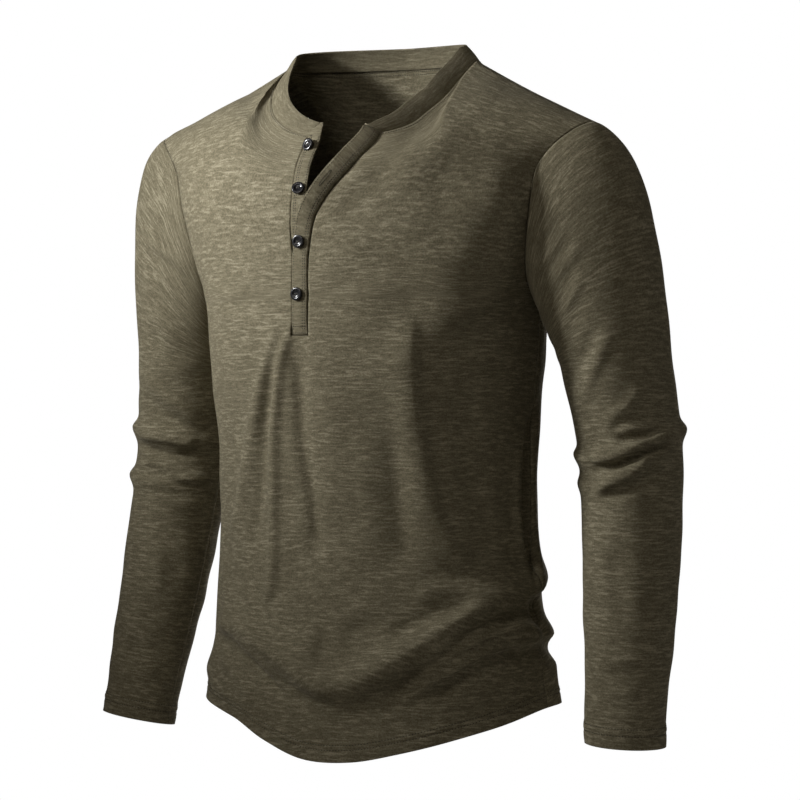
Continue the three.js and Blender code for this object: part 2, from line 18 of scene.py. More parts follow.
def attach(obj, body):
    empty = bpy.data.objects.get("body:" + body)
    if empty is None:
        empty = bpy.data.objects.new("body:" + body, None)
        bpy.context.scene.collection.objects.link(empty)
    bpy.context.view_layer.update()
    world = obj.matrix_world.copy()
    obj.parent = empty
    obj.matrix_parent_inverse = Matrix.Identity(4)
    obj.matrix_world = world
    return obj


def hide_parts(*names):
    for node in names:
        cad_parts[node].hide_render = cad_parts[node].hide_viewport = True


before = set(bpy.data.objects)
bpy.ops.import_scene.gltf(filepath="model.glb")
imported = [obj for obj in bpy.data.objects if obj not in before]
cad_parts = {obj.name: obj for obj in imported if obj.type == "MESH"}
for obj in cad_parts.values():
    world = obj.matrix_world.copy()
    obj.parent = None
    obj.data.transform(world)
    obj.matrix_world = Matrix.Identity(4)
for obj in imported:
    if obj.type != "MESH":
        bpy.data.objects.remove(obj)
log = logging.getLogger("henley")

MM = 0.001


class Hand(IntEnum):
    """The wearer's two sides, by the sign of x there."""

    LEFT = 1
    RIGHT = -1


# Body, as in the solids
ARMPIT_Z = -239
YOKE_Z = -117
ARMHOLE_CUT = {"front": 25, "back": 21}
SHOULDER_TIP = (250, -12, -66)
SHOULDER_SAG = 2
SHOULDER_LEAN = 0.02
BODY_RADIUS = 165
NECK_HALF = 112
NECK_SQUARENESS = 1.35
NECK_SHARE = 0.36
NECK_EDGE = {"front": (108, -80), "back": (-62, 4)}
BAND_HEIGHT = 21
BAND_CLEARANCE = 0.45

# Placket
SLOT_COLUMN = 0.05
PLACKET_HALF = 9.5
PLACKET_FOOT_Z = -275
PLACKET_CLEARANCE = 0.65
OVER_WIDTH = 2 * PLACKET_HALF - 2 * PLACKET_CLEARANCE
UNDER_WIDTH = 15.5
PLACKET_CURVE = 225

# Sleeves
CAP_FOOT_Z = -307
CAP_FULLNESS = 0.82
CUFF_Z = -663
CUFF_RISE = {Hand.LEFT: -3, Hand.RIGHT: 7}
CUFF_HIGH = 32  # degrees, where a cuff is farthest along
ARM_RADIUS = 52

# Cloth and sewing
CLOTH = 1.1
BAND_CLOTH = 1.9
EDGE_SHARE = 0.9991  # of a panel's half width, where its edge stops short of the seam
FLAT_HALF = 258  # half width of a flat panel
FLAT_FOOT_Z = -682  # height of its hem at the centre front
CAP_RUN = 200  # length of a flat sleeve's cap
PATTERN_SHIFT = {"front": 0, "back": 700, Hand.RIGHT: 1100, Hand.LEFT: 1900, "neckband": 2600}
HEM_ROWS = (11, 15.5)  # depths of the rows of stitches
CUFF_ROWS = (12.5, 19)
PANEL_RUN = 420  # from hem to armpit, about
SLEEVE_RUN = 356  # from the foot of the cap to the cuff
RIPPLES = 14  # waves that make up a piece's faint unevenness
RIPPLE_SEED = {"front": 3, "back": 4, Hand.LEFT: 5, Hand.RIGHT: 6}
STITCH_PITCH = 3.0
FINE_PITCH = 2.6
PROBE = 1e-3  # a small step along a surface

# Where the photograph was taken from
EYE_TURN = math.radians(32)
EYE_DISTANCE = 3119
EYE_Z = -383
EYE_FOOT = (380, 448)  # where it sees the axis at its own height, from the picture's top left corner
PICTURE = 800  # its width and height


def smoothstep(value: np.ndarray, low: float, high: float) -> np.ndarray:
    """A soft step from 0 to 1 between two values."""
    share = np.clip((np.asarray(value, float) - low) / (high - low), 0, 1)
    return share * share * (3 - 2 * share)


def unit(vectors: np.ndarray) -> np.ndarray:
    """Vectors scaled to length 1."""
    return vectors / np.maximum(np.linalg.norm(vectors, axis=-1, keepdims=True), 1e-12)


def cubic(
    start: np.ndarray, slope_start: np.ndarray, end: np.ndarray, slope_end: np.ndarray, share: np.ndarray
) -> np.ndarray:
    """A cubic from one value and slope to another, for a share from 0 to 1."""
    square = share * share
    cube = square * share
    first = (2 * cube - 3 * square + 1) * start + (cube - 2 * square + share) * slope_start
    return first + (3 * square - 2 * cube) * end + (cube - square) * slope_end


def lengths_along(points: np.ndarray) -> np.ndarray:
    """How far along a line each of its points lies."""
    return np.concatenate([[0], np.cumsum(np.linalg.norm(np.diff(points, axis=0), axis=1))])


def add(name: str, data: bpy.types.ID) -> bpy.types.Object:
    """Adds an object to the scene."""
    made = bpy.data.objects.new(name, data)
    bpy.context.collection.objects.link(made)
    return made


def add_mesh(name: str, bm: bmesh.types.BMesh, material: bpy.types.Material) -> bpy.types.Object:
    """Makes an object of a mesh in progress."""
    mesh = bpy.data.meshes.new(name)
    bm.to_mesh(mesh)
    bm.free()
    mesh.shade_smooth()
    mesh.materials.append(material)
    return add(name, mesh)


class Table:
    """Rows of named columns, read on a smooth curve by the first one."""

    def __init__(self, names: str, *rows: tuple[float, ...]) -> None:
        """Keeps the rows, in rising order of the first column."""
        data = np.array(rows, float).T
        self.keys = data[0]
        self.columns = dict(zip(names.split()[1:], data[1:]))

    def read(self, name: str, key: np.ndarray) -> np.ndarray:
        """Reads a column where the first one has these values.

        Args:
            name: the column.
            key: values of the first column.

        Returns:
            The column's values there.
        """
        keys = self.keys
        values = self.columns[name]
        key = np.asarray(key, float)
        low = np.clip(np.searchsorted(keys, key) - 1, 0, len(keys) - 2)
        before = np.maximum(low - 1, 0)
        after = np.minimum(low + 2, len(keys) - 1)
        span = keys[low + 1] - keys[low]
        slope_start = (values[low + 1] - values[before]) / (keys[low + 1] - keys[before]) * span
        slope_end = (values[after] - values[low]) / (keys[after] - keys[low]) * span
        share = np.clip((key - keys[low]) / span, 0, 1)
        return cubic(values[low], slope_start, values[low + 1], slope_end, share)


# Half width of the figure to its side seams, and its reach to the front and back
FIGURE = Table(
    "z half front back",
    (-720, 196, 142, 124),
    (-650, 190, 137, 118),
    (-570, 180, 130, 106),
    (-480, 173, 128, 97),
    (-390, 172, 134, 97),
    (-300, 180, 144, 102),
    (-239, 186, 145, 107),
    (-190, 204, 144, 109),
    (-140, 223, 137, 104),
    (-90, 236, 121, 92),
)

# Height of the hem round the body: 0 is the centre front, 90 the wearer's left side, 180 the centre back
HEM = Table(
    "angle z",
    (-180, -664),
    (-150, -652),
    (-115, -632),
    (-90, -630),
    (-60, -634),
    (-30, -647),
    (-15, -666),
    (0, -682),
    (15, -683),
    (30, -674),
    (60, -652),
    (90, -634),
    (115, -632),
    (150, -652),
    (180, -664),
)

# Centre and half sizes of a sleeve below its cap
ARM = Table(
    "z x back across deep",
    (-680, 286, -20, 38, 35),
    (-640, 283, -14, 39, 37),
    (-530, 275, 12, 45, 46),
    (-450, 269, 27, 48, 50),
    (-385, 263, 35, 50, 52),
    (-307, 252, 29, 54, 56),
    (-250, 243, 22, 58, 60),
)

# The unbuttoned top: how far its edges swing away, and how the left one lifts and twists
OPENING = Table(
    "z left lift twist right",
    (-200, 0, 0, 0, 0),
    (-178, 3, 1, 6, 3),
    (-158, 9, 3, 24, 5),
    (-135, 25, 6, 32, 6),
    (-110, 46, 7, 34, 7),
    (-78, 62, 6, 34, 7),
    (-58, 44, 4, 34, 6),
    (-30, 22, 1, 34, 3),
    (0, 0, 0, 34, 0),
)

# How the neckband leans in and rises, round the neck
BAND_LEAN = Table(
    "angle inward up",
    (0, 0.75, 0.66),
    (45, 0.7, 0.71),
    (90, 0.7, 0.71),
    (135, 0.5, 0.86),
    (180, 0.5, 0.86),
)

# How steeply the panels run into the neckline and shoulder seam, from the centre to the sleeve
EDGE_PITCH = Table("share front back", (0, 65, 68), (0.2, 52, 50), (0.36, 32, 26), (0.8, 0, 0), (1, 0, 0))


@dataclass(frozen=True)
class Fold:
    """A ridge, or a trough if its rise is below 0, along a bowed line between two places (degrees, z)."""

    start: tuple[float, float]
    end: tuple[float, float]
    bow: float
    left: float
    right: float
    rise: float

    def lift(self, radius: float, angle: np.ndarray, z: np.ndarray) -> np.ndarray:
        """How far it lifts the cloth.

        Args:
            radius: turns degrees into millimetres of cloth.
            angle: degrees round the body or arm.
            z: heights.

        Returns:
            The lift at each place.
        """
        run = np.array([math.radians(self.end[0] - self.start[0]) * radius, self.end[1] - self.start[1]])
        turn = (angle - self.start[0] + 180) % 360 - 180
        across = np.radians(turn) * radius
        up = z - self.start[1]
        length = float(np.hypot(*run))
        share = (across * run[0] + up * run[1]) / length**2
        inside = np.clip(share, 0, 1)
        aside = (run[0] * up - run[1] * across) / length - self.bow * 4 * inside * (1 - inside)
        fade = smoothstep(share, -0.12, 0.14) * (1 - smoothstep(share, 0.86, 1.12))
        width = np.where(aside > 0, self.left, self.right)
        return self.rise * fade * np.exp(-((aside / width) ** 2))


BODY_FOLDS = (
    Fold((116, -500), (14, -624), -16, 9, 18, 9),
    Fold((14, -624), (-46, -556), 0, 10, 16, 7),
    Fold((118, -566), (31, -621), -22, 8, 14, 9),
    Fold((103, -585), (100, -650), 0, 30, 30, 8),
    Fold((-70, -600), (-20, -640), 4, 14, 10, 4),
    Fold((150, -560), (215, -590), 10, 16, 12, 6),
    Fold((250, -545), (180, -610), 12, 18, 14, 5),
)

# On the sides that the photograph doesn't show
HIDDEN_BODY_FOLDS = (
    Fold((205, -250), (196, -470), 8, 9, 12, 2.2),
    Fold((168, -270), (158, -500), -6, 10, 8, 1.8),
    Fold((140, -250), (128, -420), 5, 8, 10, 1.8),
    Fold((232, -260), (238, -450), -6, 8, 10, 2.0),
    Fold((135, -480), (200, -520), -9, 9, 14, 3.0),
    Fold((245, -470), (190, -540), 9, 9, 13, 2.6),
    Fold((128, -610), (175, -632), -5, 7, 11, 2.5),
    Fold((260, -590), (215, -630), 5, 8, 11, 2.4),
    Fold((215, -150), (205, -215), 0, 12, 12, 1.5),
    Fold((145, -150), (152, -215), 0, 12, 12, 1.5),
)

ARM_FOLDS = {
    Hand.LEFT: (
        Fold((-42, -360), (118, -394), 0, 6, 10, 6),
        Fold((18, -386), (106, -427), 5, 5, 8, 5),
        Fold((112, -396), (208, -380), 0, 6, 9, 5),
        Fold((122, -420), (200, -412), 0, 7, 8, 3),
        Fold((215, -372), (318, -362), 6, 8, 11, 3),
        Fold((230, -408), (300, -420), -5, 8, 10, 2.4),
        Fold((225, -230), (240, -330), 6, 9, 12, 2.5),
        Fold((250, -500), (300, -560), 6, 9, 12, 1.6),
    ),
    Hand.RIGHT: (
        Fold((-10, -358), (142, -376), 4, 7, 11, 6),
        Fold((-6, -403), (160, -417), -5, 7, 10, 6),
        Fold((140, -376), (220, -384), 0, 8, 9, 4),
        Fold((215, -395), (300, -366), 5, 8, 11, 3),
        Fold((225, -425), (320, -415), -4, 8, 10, 2.6),
        Fold((230, -240), (245, -340), -6, 9, 12, 2.5),
        Fold((250, -510), (305, -550), 6, 9, 12, 1.6),
    ),
}


def on_picture(points: np.ndarray) -> tuple[np.ndarray, np.ndarray]:
    """Where points are seen from the photograph's viewpoint, about a millimetre to the unit."""
    away = points[..., 0] * math.sin(EYE_TURN) - points[..., 1] * math.cos(EYE_TURN)
    scale = EYE_DISTANCE / (EYE_DISTANCE - away)
    across = points[..., 0] * math.cos(EYE_TURN) + points[..., 1] * math.sin(EYE_TURN)
    return EYE_FOOT[0] + scale * across, EYE_FOOT[1] - scale * (points[..., 2] - EYE_Z)


@dataclass(frozen=True)
class Crease:
    """A ridge or trough on the side that the photograph shows, along a line of places in it.

    The left and right widths are those of someone who walks along it and looks at the picture.
    """

    line: tuple[tuple[float, float], ...]
    left: float
    right: float
    rise: float
    taper: float

    def path(self) -> np.ndarray:
        """The line with a smooth curve through its points."""
        points = np.array(self.line, float)
        steps = np.linspace(0, len(points) - 1, 7 * (len(points) - 1) + 1)
        low = np.minimum(steps.astype(int), len(points) - 2)
        share = (steps - low)[:, None]
        before = points[np.maximum(low - 1, 0)]
        after = points[np.minimum(low + 2, len(points) - 1)]
        start = points[low]
        end = points[low + 1]
        return cubic(start, (end - before) / 2, end, (after - start) / 2, share)

    def lift(self, across: np.ndarray, down: np.ndarray) -> np.ndarray:
        """How far it lifts the cloth at places in the picture.

        Args:
            across: distances from the picture's left edge.
            down: distances from its top edge.

        Returns:
            The lift at each place.
        """
        path = self.path()
        reach = 3 * max(self.left, self.right)
        low = path.min(axis=0) - reach
        high = path.max(axis=0) + reach
        near = (across > low[0]) & (across < high[0]) & (down > low[1]) & (down < high[1])
        lift = np.zeros(across.shape)
        if not near.any():
            return lift
        place = np.stack([across[near], down[near]], axis=-1)
        best = np.full(len(place), np.inf)
        side = np.zeros(len(place))
        where = np.zeros(len(place))
        lengths = np.linalg.norm(np.diff(path, axis=0), axis=1)
        so_far = 0.0
        for start, run, length in zip(path[:-1], np.diff(path, axis=0), lengths):
            gap = place - start
            share = np.clip(gap @ run / max(length**2, 1e-9), 0, 1)
            distance = np.linalg.norm(gap - share[:, None] * run, axis=1)
            closer = distance < best
            best = np.where(closer, distance, best)
            side = np.where(closer, gap[:, 0] * run[1] - gap[:, 1] * run[0], side)
            where = np.where(closer, so_far + share * length, where)
            so_far += length
        where = where / so_far
        width = np.where(side > 0, self.left, self.right)
        fade = smoothstep(where, 0, self.taper) * smoothstep(1 - where, 0, self.taper)
        lift[near] = self.rise * fade * np.exp(-((best / width) ** 2))
        return lift


def creases(table: str) -> tuple[Crease, ...]:
    """Makes the creases of a table.

    Args:
        table: the names of the columns, and under them a row for each crease that ends with its line: the
            places that it runs through, each the distances from the picture's left and top edges.

    Returns:
        The creases.
    """
    names, *rows = (row.split() for row in table.strip().splitlines() if "#" not in row)
    made = []
    for row in rows:
        *sizes, _ = names
        line = tuple(tuple(map(float, place.split(","))) for place in row[len(sizes) :])
        made.append(Crease(line, **dict(zip(sizes, map(float, row)))))
    return tuple(made)


TORSO_CREASES = creases(
    """
    left right  rise taper line
    # the long pleats below the placket
       5     6   5.0  0.10  293,318 286,345 280,371 275,430 275,498 274,562 266,618
       6     7   4.6  0.15  280,312 268,362 259,396 248,463 238,514 225,557
       9     6  -4.6  0.15  296,345 298,380 302,447 312,498 316,560
       6     5  -4.0  0.15  273,345 269,384 264,430 259,498 251,560
       8     8  -2.6  0.30  240,380 238,440 232,500 228,590
      14    16   1.6  0.45  325,350 330,420 338,480 348,560
      10    12   1.6  0.45  360,430 366,490 372,560
    # where the front turns into the side
       9    26   7.5  0.20  409,300 411,345 414,396 430,498 455,549 488,590
      12    14  -4.0  0.42  380,380 392,436 400,498 404,600
      14    12  -3.0  0.35  455,380 468,450 484,520 505,570
      22    60  10.0  0.30  486,150 503,200 502,248 482,290 446,318 409,338
    # the deep drapes over the hem
       8    22  11.0  0.12  532,588 493,602 455,625 419,648 381,671 348,688 318,686 285,662 250,636 222,612
       9     6  -8.0  0.25  530,606 480,628 446,654 412,680 372,708
       6    11  10.5  0.20  549,631 528,631 500,635 473,643 442,661 412,688
       8     7  -4.5  0.25  540,650 500,656 470,672 440,694 415,715
       4     6  -6.5  0.20  219,626 237,650 255,668 271,684 288,700
       7     9   3.6  0.30  214,645 232,668 248,690 262,712
       5     6  -3.4  0.30  205,622 214,634 226,650
      10    12   4.5  0.25  405,600 440,590 470,590 496,599
       9    10  -4.5  0.25  385,640 415,625 450,612 480,606
       9     6  -2.6  0.45  322,614 323,645 319,680
       8     8   2.0  0.40  300,620 304,645 300,668
       6     7  -2.8  0.35  266,612 270,632 282,648
       8     8   2.4  0.40  240,580 252,600 262,622
       8     9  -2.2  0.40  340,640 360,628 385,622
       7     8   2.0  0.35  356,718 400,714 450,702 510,692
    # beside the seam under the wearer's left arm
       3     3  -4.0  0.15  536,400 529,430 525,483 526,535 533,565 537,592
     3.5   3.5   3.2  0.20  541,400 535,440 532,490 535,540 542,580 546,605
       4     4   3.0  0.25  521,440 517,490 520,540 528,580
     3.5   3.5  -4.4  0.20  537,592 533,606 535,621 547,632 541,650
       5     5   2.2  0.35  525,606 518,622 512,640
       4     4   2.8  0.30  530,650 541,662 553,675
    # from the armholes and the open placket
       7     9   2.4  0.40  214,300 232,318 258,330
       6     8   1.6  0.40  207,285 226,296 250,300
       8     9   2.0  0.40  524,255 505,285 480,320
      10    12   2.0  0.45  318,205 345,232 380,262
      14    16   2.0  0.40  404,140 408,168 398,200
       9     9  -3.2  0.30  244,122 250,104 257,91 268,79
    """
)

SLEEVE_CREASES = {}
SLEEVE_CREASES[Hand.LEFT] = creases(
    """
    left right  rise taper line
       6     7   1.6  0.45  560,219 546,226 531,238
       6     7   1.9  0.45  572,226 556,243 543,268
       6     7   2.1  0.45  588,238 568,260 549,290
       5     7   2.3  0.45  588,268 574,294 558,328
       6    10   2.6  0.35  617,322 602,352 588,386 576,424
       7     8  -2.2  0.40  604,312 590,345 572,380
      12    12   2.0  0.45  640,250 648,300 652,350
       6     7   3.0  0.35  650,372 630,404 613,418 600,436
       4     5   3.6  0.30  659,427 637,429 617,429
       4     4  -3.6  0.30  660,436 638,438 612,440
       4     5   4.2  0.20  685,430 673,434 650,441 632,449 617,456 601,459 583,457
     3.5     4  -3.9  0.20  680,441 650,451 632,459 612,467 590,468
       4     5   3.9  0.25  661,454 646,460 639,469 624,478 607,485 594,489
       4     4   2.7  0.30  676,459 661,466 643,470
       5     6  -3.0  0.30  655,478 630,490 606,497 588,498
       4     5   2.1  0.35  583,420 590,440 588,452
       9    10   2.1  0.40  598,520 606,570 604,620
      10    10   1.5  0.40  640,520 636,580 642,650
       7     8   2.0  0.35  592,655 620,661 650,656
       6     7  -1.8  0.35  596,677 622,674 648,680
       6     8   2.0  0.35  594,700 620,695 650,699
       5     6   1.5  0.35  600,719 625,716 652,721
    """
)

SLEEVE_CREASES[Hand.RIGHT] = creases(
    """
    left right  rise taper line
       6     7   3.3  0.35  144,230 157,247 176,261 192,277
       6     6  -2.2  0.40  150,246 166,262 186,282
       8     9   2.7  0.40  149,298 163,328 184,351
       8     9   2.4  0.40  152,340 170,366 196,386
       6     8   3.6  0.30  140,363 153,384 172,402 196,418 216,431
       6     7  -2.7  0.35  146,396 166,414 190,428
       4     5   4.2  0.20  135,431 147,436 162,438 174,440 185,443 200,437
       4     4  -3.6  0.25  138,446 158,452 180,456 204,452
       4     5   4.2  0.20  134,468 151,463 163,467 178,471 189,476 212,478
       4     5  -3.3  0.25  136,480 156,476 178,483 206,490
       6     7   2.2  0.35  140,494 160,498 184,505 208,504
       3     3   2.4  0.35  139,446 149,455 160,464
       9    10   2.0  0.40  150,520 158,560 152,610
       9     9   1.8  0.40  186,520 188,570 180,620
       7     8   2.1  0.35  118,628 140,633 168,630
       6     7  -1.8  0.35  122,650 146,648 172,655
       6     7   2.0  0.35  116,668 140,672 170,668
    """
)


class Body:
    """The surface of the body, and the places on it."""

    @staticmethod
    def lean(point: np.ndarray) -> np.ndarray:
        """Lowers the wearer's left shoulder and raises the right one."""
        point = point.copy()
        point[..., 2] -= SHOULDER_LEAN * point[..., 0] * smoothstep(point[..., 2], -320, -100)
        return point

    @staticmethod
    def part(point: np.ndarray, hand: np.ndarray) -> np.ndarray:
        """Parts the front where it is unbuttoned.

        Args:
            point: points of the front.
            hand: the side of each.

        Returns:
            The moved points.
        """
        point = point.copy()
        off_edge = np.maximum(hand * point[..., 0] - PLACKET_HALF, 0)
        in_front = smoothstep(-point[..., 1], 0, 60)
        z = point[..., 2]
        swing = np.where(hand > 0, OPENING.read("left", z), OPENING.read("right", z))
        lift = np.where(hand > 0, OPENING.read("lift", z), 0)
        point[..., 0] += hand * swing * in_front * (1 - smoothstep(off_edge, 0, 180))
        point[..., 1] -= lift * in_front * (1 - smoothstep(off_edge, 0, 45))
        return point

    @staticmethod
    def section(angle: np.ndarray, z: np.ndarray) -> np.ndarray:
        """Points at an angle from the centre front and a height, folds included."""
        turn = np.radians(angle)
        half = FIGURE.read("half", z)
        reach = np.where(np.cos(turn) > 0, FIGURE.read("front", z), FIGURE.read("back", z))
        outward = unit(np.stack([np.sin(turn) / half, -np.cos(turn) / reach, 0 * turn], axis=-1))
        rise = sum(fold.lift(BODY_RADIUS, angle, z) for fold in BODY_FOLDS)
        point = np.stack([half * np.sin(turn), -reach * np.cos(turn), z + 0 * turn], axis=-1)
        return point + outward * rise[..., None]

    @staticmethod
    def slot_share(climb: np.ndarray) -> np.ndarray:
        """The share of the front's half width at which its slit lies."""
        turn = math.asin((PLACKET_HALF / NECK_HALF) ** (1 / NECK_SQUARENESS))
        half_angle, z = Body.level("front", np.minimum(climb, 2))
        low = np.arcsin(PLACKET_HALF / FIGURE.read("half", z)) / np.radians(half_angle)
        return np.where(climb > 2, turn / (math.pi / 2) * NECK_SHARE, low)

    @staticmethod
    def share(side: str, column: np.ndarray, climb: np.ndarray) -> np.ndarray:
        """The share of a panel's half width for a column."""
        size = np.abs(column)
        if side == "back":
            return size + 0 * climb
        slot = Body.slot_share(climb)
        outer = slot + (1 - slot) * (size - SLOT_COLUMN) / (1 - SLOT_COLUMN)
        return np.where(size < SLOT_COLUMN, size / SLOT_COLUMN * slot, outer)

    @staticmethod
    def level(side: str, climb: np.ndarray) -> tuple[np.ndarray, np.ndarray]:
        """Half the angle that a panel spans between armpit and yoke, and the height there."""
        quarter = np.clip(np.asarray(climb, float) - 1, 0, 1) * math.pi / 2
        z = ARMPIT_Z + (YOKE_Z - ARMPIT_Z) * (1 - np.cos(quarter))
        return 90 - ARMHOLE_CUT[side] * np.sin(quarter), z

    @staticmethod
    def place(side: str, column: np.ndarray, climb: np.ndarray) -> tuple[np.ndarray, np.ndarray]:
        """The angle and height of a place that is not above the yoke."""
        half_angle, level_z = Body.level(side, climb)
        swing = np.sign(column) * Body.share(side, column, climb) * half_angle
        angle = swing if side == "front" else np.sign(column) * 180 - swing
        hem = HEM.read("z", angle)
        return angle, np.where(climb < 1, hem + (ARMPIT_Z - hem) * climb, level_z)

    @staticmethod
    def upper_edge(side: str, column: np.ndarray) -> np.ndarray:
        """Points of the neckline or the shoulder seam."""
        share = Body.share(side, column, np.full(column.shape, 3.0))
        hand = np.sign(column)
        run = (share - NECK_SHARE) / (1 - NECK_SHARE)
        sag = SHOULDER_SAG * np.sin(math.pi * run)
        x = NECK_HALF + (SHOULDER_TIP[0] - NECK_HALF) * run
        shoulder = np.stack([hand * x, SHOULDER_TIP[1] * run, SHOULDER_TIP[2] * run - sag], axis=-1)
        turn = np.clip(share / NECK_SHARE, 0, 1) * math.pi / 2
        forward, rise = NECK_EDGE[side]
        neck_x = hand * NECK_HALF * np.sin(turn) ** NECK_SQUARENESS
        neck = np.stack([neck_x, -forward * np.cos(turn), rise * np.cos(turn)], axis=-1)
        return np.where((share >= NECK_SHARE)[..., None], shoulder, neck)

    @staticmethod
    def panel(side: str, column: np.ndarray, climb: np.ndarray) -> np.ndarray:
        """Points of the front or back.

        Args:
            side: front or back.
            column: -1 at the wearer's right edge, 1 at the left one.
            climb: 0 at the hem, 1 at the armpit, 2 at the yoke, 3 at the neckline or shoulder seam.

        Returns:
            The points.
        """
        column, climb = np.broadcast_arrays(np.asarray(column, float), np.asarray(climb, float))
        hand = np.where(column < 0, -1, 1)
        angle, z = Body.place(side, column, np.minimum(climb, 2))
        foot = Body.section(angle, z)
        top = Body.upper_edge(side, column)
        reach = np.linalg.norm(foot - top, axis=-1, keepdims=True)
        rise = unit(Body.section(angle, z + 1) - foot) * reach
        pitch = np.radians(EDGE_PITCH.read(side, Body.share(side, column, np.full(column.shape, 3.0))))
        inward = 1 if side == "front" else -1
        over = np.stack([0 * pitch, inward * np.cos(pitch), np.sin(pitch)], axis=-1) * reach
        high = cubic(foot, rise, top, over, np.clip(climb - 2, 0, 1)[..., None])
        point = np.where((climb > 2)[..., None], high, foot)
        return Body.lean(Body.part(point, hand) if side == "front" else point)

    @staticmethod
    def upward(side: str, column: np.ndarray, climb: np.ndarray) -> np.ndarray:
        """A short way up the front or back."""
        above = Body.panel(side, column, np.minimum(climb + PROBE, 3))
        return above - Body.panel(side, column, climb - PROBE)

    @staticmethod
    def normal(side: str, column: np.ndarray, climb: np.ndarray) -> np.ndarray:
        """The outward normals of the front or back."""
        column, climb = np.broadcast_arrays(np.asarray(column, float), np.asarray(climb, float))
        hand = np.where(column < 0, -1, 1)
        inner = np.clip(np.abs(column) - PROBE, 1e-6, 1) * hand
        outer = np.clip(np.abs(column) + PROBE, 1e-6, 1) * hand
        across = (Body.panel(side, outer, climb) - Body.panel(side, inner, climb)) * hand[..., None]
        return unit(np.cross(across, Body.upward(side, column, climb))) * (1 if side == "front" else -1)


